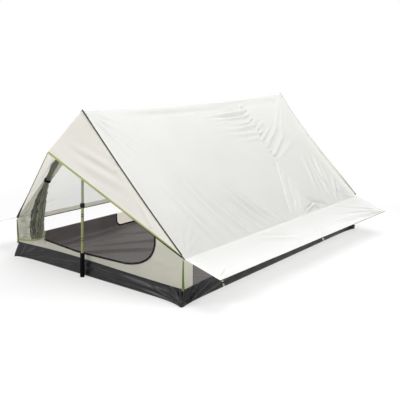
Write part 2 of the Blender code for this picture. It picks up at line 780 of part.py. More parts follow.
def build_door_flap():
    """The unzipped front door gathered against the left edge, its tie and toggle."""
    rise = FRONT_APEX_HEIGHT - FLAP_TIE_HEIGHT
    stops = []
    for share, margin in ((0.65, 1.9), (0.455, 1.33), (0.237, 1.0), (0.0, 1.0)):
        z = FLAP_TIE_HEIGHT + rise * share
        stops.append((FLAP_MARGIN * margin - roof_half_width(FRONT_WALL_Y, z), z))
    tie_x = stops[-1][0]
    fall = FLAP_TIE_HEIGHT - FLAP_FOOT_HEIGHT
    for share, out in ((0.306, 0.27), (0.648, 0.50), (0.88, 0.76), (1.0, 1.0)):
        stops.append((tie_x - FLAP_FOOT_SPREAD * out, FLAP_TIE_HEIGHT - fall * share))
    depths = [FLAP_DEPTH * share for share in (0.28, 0.5, 0.78, 0.61, 0.89, 1.0, 1.05, 0.95)]
    widths = [FLAP_WIDTH * share for share in (0.15, 0.33, 0.54, 0.41, 0.65, 0.74, 0.87, 1.0)]
    wanted = np.linspace(0, len(stops) - 1, 22)
    index = np.arange(len(stops))
    xs = np.interp(wanted, index, [p[0] for p in stops])
    zs = np.interp(wanted, index, [p[1] for p in stops])
    depth = np.interp(wanted, index, depths)
    width = np.interp(wanted, index, widths)
    back = FRONT_FACE_Y - np.interp(wanted, (2, 3, 4), (0.0006, TIE_CLEARANCE, 0.0006))
    path = [(x, b - d * 1.17, z) for x, b, z, d in zip(xs, back, zs, depth)]
    sweep("door_flap", path, flap_section(), "wall_fabric", scale=list(zip(depth, width)), sharp=80.0)
    x, z = stops[3]
    y = FRONT_FACE_Y - TIE_CLEARANCE - depths[3] * 1.17
    slope = Vector((stops[4][0] - stops[2][0], 0.0, stops[4][1] - stops[2][1])).normalized()
    across = Vector((-slope.z, 0.0, slope.x))
    ring = []
    for k in range(24):
        angle = 2 * math.pi * k / 24
        a = (depths[3] * 1.17 + 0.0012) * math.cos(angle)
        b = (widths[3] * 1.17 + 0.0030) * math.sin(angle)
        ring.append(Vector((x, y, z)) + Vector((0, -a, 0)) + across * b)
    sweep("door_tie_band", [tuple(p) for p in ring], flat_section(0.007, 0.0010), "black_webbing",
          up=tuple(slope), closed=True)
    place = Matrix.Translation(Vector((x, y - depths[3] * 1.17 - 0.0058, z)))
    place = place @ Matrix.Rotation(math.radians(90), 4, "Y")
    profile = [(0.0, -0.009), (0.0028, -0.009), (0.0036, -0.006), (0.0036, 0.006), (0.0028, 0.009), (0.0, 0.009)]
    lathe("door_tie_toggle", profile, place, "black_plastic", 12)


def build_straps():
    """Corner straps, stake tabs and the skirts' cord loops."""
    for end in (-1, 1):
        for side in (1, -1):
            name = end_name(end) + "_" + side_name(side)
            corner = mirrored(eave_corner(end), side)
            x = corner[0] - side * WEBBING_WIDTH / 2
            face = FRONT_FACE_Y if end < 0 else HALF_LENGTH
            y = face + end * (WEBBING / 2 + 2 * GAP)
            top_y = y if end < 0 else corner[1] - 0.006
            low_z = tub_top(x, end * HALF_LENGTH) - 0.008
            low_y = y - 0.0035 if end < 0 else y
            path = [(x, low_y, low_z), (x, y, low_z + 0.014), (x, top_y, EAVE_HEIGHT - 0.010)]
            sweep("corner_strap_" + name, path, flat_section(WEBBING, WEBBING_WIDTH), "strap_webbing")
            corner_cut = TUB_CORNER * (1 - math.sqrt(0.5))
            x = HALF_WIDTH - TUB_FOOT_INSET - corner_cut + 0.0045
            y = HALF_LENGTH - FRONT_FOOT_INSET - corner_cut + 0.0018 if end < 0 else x + HALF_LENGTH - HALF_WIDTH
            foot = Vector((side * x, end * y, WEBBING / 2))
            aim = Vector((side, end, 0.0)).normalized()
            path = [tuple(foot + aim * TAB_LENGTH * k / 2) for k in range(3)]
            sweep("stake_tab_" + name, path, flat_section(WEBBING, 0.020), "black_webbing", up=(0, 0, 1))
    for side in (1, -1):
        build_loop("guy_loop_front_" + side_name(side), side, 0.007)
        build_loop("guy_loop_middle_" + side_name(side), side, 0.520)
        drop = loop_direction(side)
        start = Vector(mirrored(skirt_hem(0.007), side)) + drop * 0.010
        place = Matrix.Translation(start) @ drop.to_track_quat("Z", "Y").to_matrix().to_4x4()
        profile = [(0.0045, 0.0), (0.0060, 0.0), (0.0066, 0.002), (0.0066, 0.007), (0.0060, 0.009), (0.0045, 0.009)]
        lathe("cord_lock_" + side_name(side), profile, place, "black_plastic", 14, ring=True)


def loop_direction(side):
    """Direction in which the cord loops hang off the skirt."""
    return Vector((side * 0.35, 0.0, -0.937)).normalized()


def build_loop(name, side, along):
    """A short loop of cord at the skirt's hem."""
    drop = loop_direction(side)
    start = Vector(mirrored(skirt_hem(along), side)) + drop * (SKIRT_HEM_THICKNESS / 2 + GAP / 2)
    half = 0.0026
    path = [start + Vector((0, -half, 0)) + drop * (LOOP_LENGTH * k / 3) for k in range(4)]
    for k in range(1, 8):
        angle = math.pi * k / 8
        path.append(start + Vector((0, -half * math.cos(angle), 0)) + drop * (LOOP_LENGTH + half * math.sin(angle)))
    path += [start + Vector((0, half, 0)) + drop * (LOOP_LENGTH * k / 3) for k in range(3, -1, -1)]
    normal = drop.cross(Vector((0, 1, 0)))
    sweep(name, [tuple(p) for p in path], round_section(CORD_RADIUS, 6), "guy_cord", up=tuple(normal))


def pole_line(end):
    """Foot and top of the pole under one apex."""
    top = Vector(apex(end)) - Vector((0, 0, TIP_END_DROP))
    if end < 0:
        return Vector((POLE_FOOT_X, -(HALF_LENGTH + POLE_FOOT_LEAD), POLE_FOOT_LIFT)), top
    return Vector((0.0, HALF_LENGTH + REAR_POLE_FOOT_LEAD, POLE_FOOT_LIFT)), top


def pole_frame(end):
    """Placing matrix with its Z along the pole from the foot."""
    foot, top = pole_line(end)
    z = (top - foot).normalized()
    azimuth = math.radians(LEVER_PIVOT_AZIMUTH + (180 if end > 0 else 0))
    x = Vector((math.cos(azimuth), math.sin(azimuth), 0.0))
    x = (x - z * x.dot(z)).normalized()
    y = z.cross(x)
    frame = Matrix((x, y, z)).transposed().to_4x4()
    frame.translation = foot
    return frame


def build_clamp(name, frame, at, lower_radius, upper_radius):
    """Collar on a tube's upper end and the lever that closes it."""
    bore = lower_radius + POLE_FIT
    throat = upper_radius + POLE_FIT
    outside = lower_radius + CLAMP_WALL
    low = at - CLAMP_HEIGHT * 0.6
    high = at + CLAMP_HEIGHT * 0.4
    step = at + POLE_FIT
    profile = [(bore, low), (outside - 0.0008, low), (outside, low + 0.0012), (outside, high - 0.0012)]
    profile += [(outside - 0.0008, high), (throat, high), (throat, step), (bore, step)]
    lathe(name, profile, frame, "black_plastic", 24, ring=True)
    radius = outside + GAP + LEVER_WALL / 2
    middle = (low + high) / 2
    pivot = frame @ Vector((radius, 0, middle))
    path = []
    for k in range(15):
        angle = math.radians(LEVER_SPAN * k / 14)
        path.append(frame @ Vector((radius * math.cos(angle), radius * math.sin(angle), middle)))
    tail = frame.to_3x3() @ Vector((0, 0, 1))
    sizes = [(0.55, 1.0)] + [(1.0, 1.0)] * 10 + [(0.85, 1.0)] * 2 + [(0.7, 0.9), (0.5, 0.8)]
    sweep(name + "_lever", [tuple(p) for p in path], flat_section(CLAMP_HEIGHT * 0.72, LEVER_WALL),
          "black_plastic", up=tuple(tail), scale=sizes, origin=tuple(pivot))


def tube(name, frame, radius, low, high, material):
    """A thin tube along the pole."""
    inner = radius - POLE_WALL
    profile = [(inner, low), (radius, low), (radius, high), (inner, high)]
    lathe(name, profile, frame, material, 20, ring=True)


def build_pole(end):
    """A three-section walking pole standing on its grip, its tip in the apex."""
    frame = pole_frame(end)
    foot, top = pole_line(end)
    total = (top - foot).length
    name = end_name(end) + "_pole_"
    bore = POLE_HANDLE_RADIUS + POLE_FIT
    start = 0.018
    profile = [(0.0, 0.0), (0.0135, 0.0), (0.0155, 0.003), (GRIP_RADIUS, 0.012), (0.0142, 0.035)]
    profile += [(0.0150, 0.060), (0.0140, 0.085), (0.0150, 0.110), (0.0142, 0.135), (GRIP_RADIUS, 0.155)]
    profile += [(0.0135, GRIP_LENGTH), (bore, GRIP_LENGTH), (bore, start), (0.0, start)]
    lathe(name + "grip", profile, frame, "grip_foam", 24)
    tube(name + "handle_tube", frame, POLE_HANDLE_RADIUS, start + GAP, LOWER_CLAMP_AT, "handle_alloy")
    build_clamp(name + "lower_clamp", frame, LOWER_CLAMP_AT, POLE_HANDLE_RADIUS, POLE_MIDDLE_RADIUS)
    low = LOWER_CLAMP_AT - TUBE_OVERLAP
    tube(name + "middle_tube", frame, POLE_MIDDLE_RADIUS, low, UPPER_CLAMP_AT, "shaft_alloy")
    build_clamp(name + "upper_clamp", frame, UPPER_CLAMP_AT, POLE_MIDDLE_RADIUS, POLE_TIP_RADIUS)
    low = UPPER_CLAMP_AT - TUBE_OVERLAP
    inner = POLE_TIP_RADIUS - POLE_WALL
    solid = total - TIP_LENGTH
    profile = [(0.0, solid - 0.010), (inner, solid - 0.010), (inner, low), (POLE_TIP_RADIUS, low)]
    profile += [(POLE_TIP_RADIUS, solid), (0.0055, solid + 0.004), (0.0050, solid + 0.024)]
    profile += [(0.0030, solid + 0.032), (0.0028, total - 0.001), (0.0018, total), (0.0, total)]
    lathe(name + "tip_tube", profile, frame, "shaft_alloy", 20)


def roof_half_width(y, z):
    """Half the clear width under the roof at a height."""
    under = z + 2 * FABRIC / 2 / math.cos(math.radians(46.0))
    low, high = 0.0, EAVE_HALF_WIDTH
    for _ in range(40):
        middle = (low + high) / 2
        if roof_height(middle, y) > under:
            low = middle
        else:
            high = middle
    return low


def build_apex_fitting(end):
    """Sewn webbing patch with its eyelet, round the pole's tip."""
    foot, top = pole_line(end)
    height = apex(end)[2] - WEBBING_DROP
    share = (height - foot.z) / (top.z - foot.z)
    centre = foot + (top - foot) * share
    inner_y = centre.y - end * 0.020
    wide = roof_half_width(inner_y, centre.z + WEBBING / 2)
    outline = []
    for x, y in ((-0.014, 0.020), (0.014, 0.020), (wide, -0.020), (-wide, -0.020)):
        outline.append(np.array([x - centre.x, y * end]))
    if end > 0:
        outline.reverse()
    hole = [np.array([0.0039 * math.cos(a), 0.0039 * math.sin(a)]) for a in np.linspace(0, 2 * math.pi, 25)[:-1]]
    outer, inner = matched(outline, hole, (0.0, 0.0), 0)
    outer = [(centre.x + x, centre.y + y, centre.z) for x, y in outer]
    inner = [(centre.x + x, centre.y + y, centre.z) for x, y in inner]
    plate_with_hole("apex_webbing_" + end_name(end), outer, inner, WEBBING, "black_webbing", (0, 0, 1))
    low = WEBBING / 2 + POLE_FIT
    profile = [(0.0036, low), (0.0088, low), (0.0088, low + 0.0006), (0.0060, low + 0.0014), (0.0036, low + 0.0014)]
    lathe("apex_grommet_" + end_name(end), profile, Matrix.Translation(centre), "grommet_brass", 20, ring=True)


for item in list(bpy.data.objects):
    bpy.data.objects.remove(item, do_unlink=True)
MATERIALS = make_materials()
build_canopy()
build_tub()
build_side_door()
build_inner_walls()
build_front_door()
build_straps()
for tent_end in (-1, 1):
    build_pole(tent_end)
    build_apex_fitting(tent_end)
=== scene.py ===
"""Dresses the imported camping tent: cloth, tapes, zips, cords and walking poles."""

from __future__ import annotations

import logging
import math
from dataclasses import dataclass
from enum import Enum
from typing import Sequence, TypeVar

import bmesh
import bpy
import numpy as np
from mathutils import Matrix, Vector


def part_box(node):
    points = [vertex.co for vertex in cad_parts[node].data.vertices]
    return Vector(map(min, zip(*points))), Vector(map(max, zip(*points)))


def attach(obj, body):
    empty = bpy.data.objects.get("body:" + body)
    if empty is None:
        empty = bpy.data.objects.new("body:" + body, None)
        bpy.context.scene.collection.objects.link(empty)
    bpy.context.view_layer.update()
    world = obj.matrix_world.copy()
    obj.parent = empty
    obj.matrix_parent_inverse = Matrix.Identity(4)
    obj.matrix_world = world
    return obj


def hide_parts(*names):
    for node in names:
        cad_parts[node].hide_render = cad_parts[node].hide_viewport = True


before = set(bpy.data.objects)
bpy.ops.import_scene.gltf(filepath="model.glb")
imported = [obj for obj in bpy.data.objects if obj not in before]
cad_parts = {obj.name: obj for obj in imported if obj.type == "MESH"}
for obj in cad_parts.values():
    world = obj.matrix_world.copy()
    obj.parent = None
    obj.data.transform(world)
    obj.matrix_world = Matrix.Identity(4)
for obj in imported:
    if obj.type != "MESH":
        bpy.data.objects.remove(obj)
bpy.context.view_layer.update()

Array = np.ndarray
Item = TypeVar("Item")
Triple = tuple[float, float, float]
Socket = bpy.types.NodeSocket
Piece = bpy.types.Object
TURN = 2 * math.pi
log = logging.getLogger("tent")


class Option(Enum):
    """A choice whose name is part of pieces' names."""

    @property
    def word(self) -> str:
        """The option's name in lower case."""
        return self.name.lower()


class End(Option):
    """The two ends of the tent, by their direction along y."""

    FRONT = -1
    REAR = 1

    def pick(self, pair: Sequence[Item]) -> Item:
        """This end's item of a pair that has the front's first."""
        return pair[self is End.REAR]


class Side(Option):
    """The two long sides of the tent, by their direction along x."""

    LEFT = -1
    RIGHT = 1


class Weave(Option):
    """How a cloth's threads show."""

    TAFFETA = 0
    NETTING = 1
    WEBBING = 2
    CORD = 3


class Nodes:
    """Adds shader nodes to a tree."""

    def __init__(self, tree: bpy.types.NodeTree) -> None:
        """Take the tree."""
        self.tree = tree

    def plug(self, socket: Socket, value: object) -> None:
        """Connect or set an input.

        Args:
            socket: the input.
            value: another node's output, a number, or a colour with or without its alpha.
        """
        if isinstance(value, Socket):
            self.tree.links.new(value, socket)
        else:
            socket.default_value = (*value, 1.0) if isinstance(value, tuple) and len(value) == 3 else value

    def add(self, kind: str, inputs: dict[int | str, object], **values: str) -> bpy.types.Node:
        """Add a node.

        Args:
            kind: its type without ShaderNode.
            inputs: what its inputs get, by number or name.
            values: its properties.

        Returns:
            The node.
        """
        node = self.tree.nodes.new("ShaderNode" + kind)
        for key, value in values.items():
            setattr(node, key, value)
        for key, value in inputs.items():
            self.plug(node.inputs[key], value)
        return node

    def place(self, kind: str) -> Socket:
        """Coordinates in metres: UV on the flat cloth, or Object in space."""
        return self.add("TexCoord", {}).outputs[kind]

    def noise(self, place: Socket, scale: float, detail: float = 2.0, distortion: float = 0.0) -> Socket:
        """Smooth noise of the given frequency per metre."""
        inputs = {"Vector": place, "Scale": scale, "Detail": detail, "Distortion": distortion}
        return self.add("TexNoise", inputs).outputs["Fac"]

    def bands(self, place: Socket, pitch: float, direction: str) -> Socket:
        """Even stripes with a pitch in metres along one direction."""
        inputs = {"Vector": place, "Scale": TURN / 20 / pitch}
        return self.add("TexWave", inputs, bands_direction=direction).outputs["Fac"]

    def maths(self, how: str, first: object, second: object) -> Socket:
        """One arithmetic step on two values."""
        return self.add("Math", {0: first, 1: second}, operation=how).outputs[0]

    def spread(self, value: Socket, low: float, high: float, to_low: float = 0.0,
               to_high: float = 1.0) -> Socket:
        """Stretch a value from one range to another, cut at its ends."""
        ends = {"From Min": low, "From Max": high, "To Min": to_low, "To Max": to_high}
        return self.add("MapRange", {"Value": value, **ends}).outputs[0]

    def blend(self, share: object, first: object, second: object) -> Socket:
        """Mix two colours."""
        return self.add("Mix", {0: share, 6: first, 7: second}, data_type="RGBA").outputs[2]

    def seen(self) -> Socket:
        """1 for rays that bring a picture and 0 for rays that only bring light.

        Returns:
            The output that carries it.
        """
        rays = self.add("LightPath", {}).outputs
        bent = self.maths("MAXIMUM", rays["Is Glossy Ray"], rays["Is Transmission Ray"])
        return self.maths("MAXIMUM", rays["Is Camera Ray"], bent)


class Surface(Nodes):
    """Builds one material round a principled shader."""

    def __init__(self, name: str) -> None:
        """Start the material under its name.

        Args:
            name: the material's name.
        """
        self.material = bpy.data.materials.new(name)
        self.material.use_nodes = True
        super().__init__(self.material.node_tree)
        self.shader = self.tree.nodes["Principled BSDF"]

    def feed(self, inputs: dict[str, object]) -> None:
        """Connect or set inputs of the principled shader, by name."""
        for name, value in inputs.items():
            self.plug(self.shader.inputs[name], value)

    def bump(self, heights: Sequence[tuple[Socket, float]]) -> None:
        """Stack bump maps.

        Args:
            heights: each map with its depth in metres.
        """
        before = {}
        for height, depth in heights:
            before = {"Normal": self.add("Bump", {"Height": height, "Distance": depth, **before}).outputs[0]}
        self.feed(before)

    def cover(self, share: object, other: bpy.types.Node) -> None:
        """Mix another shader's node over the principled one, by its share."""
        mix = self.add("MixShader", {0: share, 1: self.shader.outputs[0], 2: other.outputs[0]})
        self.plug(self.tree.nodes["Material Output"].inputs[0], mix.outputs[0])


def tint(code: int) -> Triple:
    """Turn a colour as the eye sees it, 0xRRGGBB, into the light it reflects."""
    shares = [(code >> shift & 255) / 255 for shift in (16, 8, 0)]
    return tuple(s / 12.92 if s <= 0.04045 else ((s + 0.055) / 1.055) ** 2.4 for s in shares)


@dataclass(frozen=True)
class Cloth:
    """A woven finish.

    Attributes:
        name: the material's name.
        slot: the record's material slot.
        colour: its main colour, 0xRRGGBB.
        shade: the colour of the painted shade between its threads, and of its large soft patches.
        weave: how its threads show.
        pitch: distance between threads in metres.
        depth: depth of the threads in metres.
        rough: roughness of the surface.
        through: share of light that passes through.
        crumple: depth of small creases in metres.
        mottle: how much the shade shows in large soft patches.
        cover: how much of a net is thread.
        gloss: strength of the reflection.
    """

    name: str
    slot: str
    colour: int
    shade: int
    weave: Weave = Weave.TAFFETA
    pitch: float = 0.0009
    depth: float = 0.00003
    rough: float = 0.7
    through: float = 0.0
    crumple: float = 0.0
    mottle: float = 0.25
    cover: float = 1.0
    gloss: float = 0.35

    def threads(self, make: Surface, flat: Socket) -> Socket:
        """Height of the threads on the flat cloth.

        Args:
            make: builds the material.
            flat: the flat cloth's coordinates.

        Returns:
            The output that carries it.
        """
        across, along = make.bands(flat, self.pitch, "X"), make.bands(flat, self.pitch, "Y")
        if self.weave is Weave.WEBBING:
            return make.maths("MULTIPLY", make.maths("MAXIMUM", across, 0.25), along)
        if self.weave is Weave.CORD:
            return make.bands(flat, self.pitch, "DIAGONAL")
        if self.weave is Weave.NETTING:
            return make.maths("MAXIMUM", across, along)
        return make.maths("MULTIPLY", make.maths("ADD", across, along), 0.5)

    def make(self) -> bpy.types.Material:
        """Build the material.

        Returns:
            The material.
        """
        make, colour, shade = Surface(self.name), tint(self.colour), tint(self.shade)
        flat, solid = make.place("UV"), make.place("Object")
        threads = self.threads(make, flat)
        patches, fibres = make.noise(solid, 3.1, 3.0, 0.4), make.noise(solid, 240.0)
        # painted shade between the threads: darker where the threads lie low
        grain = make.maths("MULTIPLY", make.spread(threads, 0.0, 1.0, 0.35, 0.0), 0.5)
        shares = (make.spread(patches, 0.35, 0.75, 0.0, self.mottle), grain,
                  make.spread(fibres, 0.3, 0.7, 0.0, 0.1))
        for share in shares:
            colour = make.blend(share, colour, shade)
        make.feed({"Base Color": colour, "Specular IOR Level": self.gloss,
                   "Roughness": make.spread(fibres, 0.2, 0.8, self.rough - 0.05, self.rough + 0.07)})
        heights = [(threads, self.depth)]
        if self.crumple:
            heights = [(make.noise(solid, 9.0, 3.0, 1.2), self.crumple),
                       (make.noise(solid, 38.0, 2.0, 0.6), self.crumple * 0.18), *heights]
        make.bump(heights)
        if self.cover < 1.0:
            make.feed({"Alpha": make.spread(threads, 0.62, 0.8, self.cover * 0.55,
                                            min(1.0, self.cover * 1.6))})
        if self.through:
            make.cover(self.through, make.add("BsdfTranslucent", {"Color": colour}))
        return make.material


@dataclass(frozen=True)
class Hard:
    """A moulded, anodised or painted finish.

    Attributes:
        name: the material's name.
        slot: the record's material slot; empty for plain solids, which keep theirs.
        colour: its main colour, 0xRRGGBB.
        shade: its second colour, for wear and grain.
        rough: roughness.
        metal: how metallic it is.
        grain: size of its surface grain in metres.
        depth: depth of the grain in metres.
        brushed: whether fine lines run round the piece.
        gloss: strength of the reflection.
    """

    name: str
    slot: str
    colour: int
    shade: int
    rough: float = 0.45
    metal: float = 0.0
    grain: float = 0.0006
    depth: float = 0.00002
    brushed: bool = False
    gloss: float = 0.5

    def make(self) -> bpy.types.Material:
        """Build the material.

        Returns:
            The material.
        """
        make, colour, shade = Surface(self.name), tint(self.colour), tint(self.shade)
        solid = make.place("Object")
        grain, patches = make.noise(solid, 1.0 / self.grain), make.noise(solid, 45.0, 4.0, 0.3)
        for share in (make.spread(patches, 0.45, 0.8, 0.0, 0.45), make.spread(grain, 0.35, 0.7, 0.0, 0.18)):
            colour = make.blend(share, colour, shade)
        make.feed({"Base Color": colour, "Metallic": self.metal, "Specular IOR Level": self.gloss,
                   "Roughness": make.spread(patches, 0.2, 0.8, self.rough - 0.07, self.rough + 0.1)})
        lines = [(make.bands(solid, 0.0007, "Z"), self.depth * 0.5)] if self.brushed else []
        make.bump([(grain, self.depth), *lines])
        return make.material


# Every finish; those of plain solids that stay have no slot.
FINISHES: tuple[Cloth | Hard, ...] = (
    Cloth("fly", "canopy_fabric", 0xF5F5F3, 0xE5E6E4, rough=0.62, through=0.42, crumple=0.0012),
    Cloth("beak_fly", "canopy_fabric", 0xF0EDE7, 0xE0DDD5, rough=0.62, through=0.42, crumple=0.0012),
    Cloth("lining", "wall_fabric", 0xE0DED0, 0xC8C6B8, through=0.42, crumple=0.0012, mottle=0.3),
    Cloth("front_lining", "wall_fabric", 0xD6D5C7, 0xB8B7A8, rough=0.42, through=0.36, crumple=0.002,
          mottle=0.5, gloss=0.9),
    # The side door's panel is the lining painted brighter and more translucent: painted light on a panel that
    # stands in shade.
    Cloth("door_panel", "wall_fabric", 0xFAF3E9, 0xECE4D8, through=0.62, crumple=0.0012, mottle=0.3),
    # The gathered door is the wall cloth painted darker, with dark patches: painted shade of its folded
    # layers.
    Cloth("door_cloth", "wall_fabric", 0x8E8F80, 0x525347, through=0.12, crumple=0.003, mottle=0.6),
    Cloth("groundsheet_inside", "floor_fabric", 0x706B6B, 0x545050, pitch=0.0011, depth=0.00004,
          rough=0.55, crumple=0.0026, mottle=0.5),
    Cloth("groundsheet", "floor_fabric", 0x262427, 0x171618, pitch=0.0011, depth=0.00004, rough=0.36,
          crumple=0.001, mottle=0.5, gloss=0.27),
    Cloth("net", "mesh_fabric", 0x969798, 0x78797A, Weave.NETTING, 0.002, 0.00005, 0.8, mottle=0.2,
          cover=0.04),
    Cloth("pale_seam", "seam_tape", 0xCECEC6, 0xAAACA0, Weave.WEBBING, 0.0012, 0.0001),
    Cloth("seam", "seam_tape", 0x3A4226, 0x202418, Weave.WEBBING, 0.0012, 0.0001, gloss=0.12),
    Cloth("edging", "beak_binding", 0xA0AA6C, 0x747E46, Weave.WEBBING, 0.0014, 0.0001, mottle=0.6),
    Cloth("strap", "strap_webbing", 0x62732A, 0x3C4A16, Weave.WEBBING, 0.0014, 0.0002, 0.75, mottle=0.5),
    Cloth("black_tape", "black_webbing", 0x141415, 0x0C0C0D, Weave.WEBBING, 0.0014, 0.0002, 0.75, gloss=0.12),
    Cloth("zip_tape", "zip_tape", 0x101011, 0x0A0A0B, Weave.WEBBING, 0.001, 0.0001, gloss=0.08),
    Cloth("zip_coil", "zip_tape", 0x101011, 0x080809, Weave.WEBBING, 0.0013, 0.0006, 0.5, gloss=0.15),
    Cloth("thread", "seam_tape", 0xE4E3DE, 0xBEBDB8, Weave.CORD, 0.001, 0.0001),
    Cloth("cord", "guy_cord", 0xEEF0D6, 0x8C9B64, Weave.CORD, 0.0022, 0.0003),
    Hard("zip_metal", "zip_metal", 0x78787A, 0x505052, 0.35, 0.8),
    Hard("clamp", "", 0x121213, 0x0C0C0D, 0.5, gloss=0.2),
    Hard("foam", "grip_foam", 0x111011, 0x0A0A0B, 0.85, grain=0.0012, depth=0.0002, gloss=0.06),
    Hard("olive_alloy", "", 0x969868, 0x6E7048, 0.4, 0.55, 0.0008, 0.00001, True),
    Hard("grey_alloy", "", 0x969B84, 0x707660, 0.38, 0.55, 0.0008, 0.00001, True),
    Hard("paint", "handle_alloy", 0x34382A, 0x262A1E, 0.5),
    Hard("brass", "", 0xB0AA9E, 0x827C70, 0.3, 1.0),
)


def mix(first: Array, last: Array, share: Array | float) -> Array:
    """Part of the way from first to last."""
    return first * (1 - share) + last * share


def mirrored(points: Array, down: Array) -> Array:
    """Points of the right half, put on the left where down is negative.

    Args:
        points: points of the right half.
        down: -1 at the left eave and 1 at the right one.

    Returns:
        The points.
    """
    flip = np.ones_like(points)
    flip[..., 0] = np.sign(down)
    return points * flip


@dataclass(frozen=True)
class Pitch:
    """The main lines of the pitched tent, in metres.

    Attributes:
        half_length: half the groundsheet's length.
        half_width: half the groundsheet's width.
        eave: half width of the roof at its eaves, and their height.
        heights: heights of the front and the rear apex.
        leads: how far each apex leans out over its end.
        eave_ends: y of the eaves' front and rear ends.
        seam_sag: sag of the front and the rear seam.
        ridge_sag: sag of the ridge.
        tips: reach and height of the front and the rear beak.
        skirts: way from the eave's front and rear end to the skirt's hem.
        tub_sides: height of the tub's right and left side.
        tub_front: height of its front, that of its hump, and the hump's place and spread.
        walls: y of the front and the rear wall's cloth.
    """

    half_length: float = 1.13
    half_width: float = 0.769
    eave: tuple[float, float] = (0.768, 0.273)
    heights: tuple[float, float] = (1.07, 1.105)
    leads: tuple[float, float] = (0.025, 0.036)
    eave_ends: tuple[float, float] = (-1.116, 1.18)
    seam_sag: tuple[float, float] = (0.014, 0.05)
    ridge_sag: float = 0.027
    tips: tuple[tuple[float, float], ...] = ((0.299, 0.84), (0.325, 0.865))
    skirts: tuple[Triple, Triple] = ((0.253, -0.004, -0.067), (0.273, -0.05, -0.082))
    tub_sides: tuple[float, float] = (0.102, 0.128)
    tub_front: tuple[float, float, float, float] = (0.092, 0.02, -0.25, 0.6)
    walls: tuple[float, float] = (-1.11925, 1.12925)

    def apex(self, end: End) -> Array:
        """Top of the front or the rear seam."""
        return np.array([0.0, end.value * (self.half_length + end.pick(self.leads)), end.pick(self.heights)])

    def corner(self, end: End) -> Array:
        """Right end of the eave at the front or the rear."""
        return np.array([self.eave[0], end.pick(self.eave_ends), self.eave[1]])

    def tip(self, end: End) -> Array:
        """Outer point of a beak."""
        reach, height = end.pick(self.tips)
        return np.array([0.0, end.value * (self.half_length + reach), height])

    def seam(self, end: End, down: Array) -> Array:
        """Points of a seam between roof and beak.

        Args:
            end: which seam.
            down: -1 at the left eave, 0 at the apex and 1 at the right eave.

        Returns:
            One point for each value.
        """
        share = np.abs(down)[..., None]
        sag = np.array([0.0, 0.0, 4 * end.pick(self.seam_sag)]) * share * (1 - share)
        return mirrored(mix(self.apex(end), self.corner(end), share) - sag, down)

    def edge(self, end: End, down: Array) -> Array:
        """Points of a beak's free edge, by the same measure as the seam."""
        return mirrored(mix(self.tip(end), self.corner(end), np.abs(down)[..., None]), down)

    def roof(self, down: Array, along: Array) -> Array:
        """Points of the roof.

        Args:
            down: as for the seam.
            along: 0 at the front and 1 at the rear.

        Returns:
            One point for each pair.
        """
        points = mix(self.seam(End.FRONT, down), self.seam(End.REAR, down), along[..., None])
        points[..., 2] -= 4 * self.ridge_sag * along * (1 - along) * (1 - np.abs(down))
        return points

    def roof_height(self, x: Array, y: Array) -> Array:
        """Height of the roof above points of the floor.

        Args:
            x: how far right they are.
            y: how far back.

        Returns:
            The heights.
        """
        down = np.minimum(np.abs(x) / self.eave[0], 1.0)
        front, rear = (self.seam(end, down)[..., 1] for end in End)
        return self.roof(down, np.clip((y - front) / (rear - front), 0.0, 1.0))[..., 2]

    def hem(self, along: Array | float) -> Array:
        """Points of the right skirt's outer edge, front at 0 and rear at 1."""
        front, rear = (self.corner(end) + np.array(end.pick(self.skirts)) for end in End)
        return mix(front, rear, np.asarray(along)[..., None])

    def tub_top(self, x: Array, y: Array | float) -> Array:
        """Height of the tub's upper edge at points of its outline.

        Args:
            x: how far right they are.
            y: how far back.

        Returns:
            The heights.
        """
        near, far = self.tub_sides
        low, crest, middle, spread = self.tub_front
        side = near + (far - near) * (0.5 - x / (2 * self.half_width))
        front = low + crest * np.exp(-((x - middle) / spread) ** 2)
        return mix(front, side, np.clip((y + self.half_length - 0.03) / 0.147, 0.0, 1.0))

    def foot_shift(self, z: float) -> float:
        """How far the tub's wall has drawn in near its foot."""
        return np.interp(z, [0.0, 0.007, 0.022, 0.04], [0.03, 0.012, 0.003, 0.0])


@dataclass(frozen=True)
class Crease:
    """A fold line pressed into a cloth, by places on the flat cloth in metres.

    Attributes:
        from_u: where it starts, as from_v.
        to_u: where it ends, as to_v.
        depth: height of the fold, outwards if positive.
        width: half width of the fold.
        crisp: 0 for a round fold and 1 for a sharp one.
        lean: trough beside the fold, as a share of its depth.
        peak: where along the line it is deepest, from 0 to 1.
    """

    from_u: float
    from_v: float
    to_u: float
    to_v: float
    depth: float
    width: float
    crisp: float = 0.5
    lean: float = 0.5
    peak: float = 0.5

    def lift(self, u: Array, v: Array) -> Array:
        """Height that the fold adds at places of the cloth.

        Args:
            u: places along the cloth.
            v: places across the cloth.

        Returns:
            The heights.
        """
        line_u, line_v = self.to_u - self.from_u, self.to_v - self.from_v
        length = math.hypot(line_u, line_v)
        share = ((u - self.from_u) * line_u + (v - self.from_v) * line_v) / length ** 2
        off = ((u - self.from_u) * line_v - (v - self.from_v) * line_u) / length / self.width
        reach = np.sin(math.pi * np.clip(share, 0.0, 1.0) ** (math.log(0.5) / math.log(self.peak))) ** 0.8
        soft, sharp = np.exp(-off ** 2), np.exp(-np.abs(off) * 1.6)
        trough = np.exp(-((np.abs(off) - 1.9) / 0.9) ** 2) * self.lean * np.where(off > 0, 1.0, 0.35)
        return self.depth * reach * ((1 - self.crisp) * soft + self.crisp * sharp - trough)


def creases(*rows: Sequence[float]) -> list[Crease]:
    """Folds from rows of a Crease's values."""
    return [Crease(*row) for row in rows]


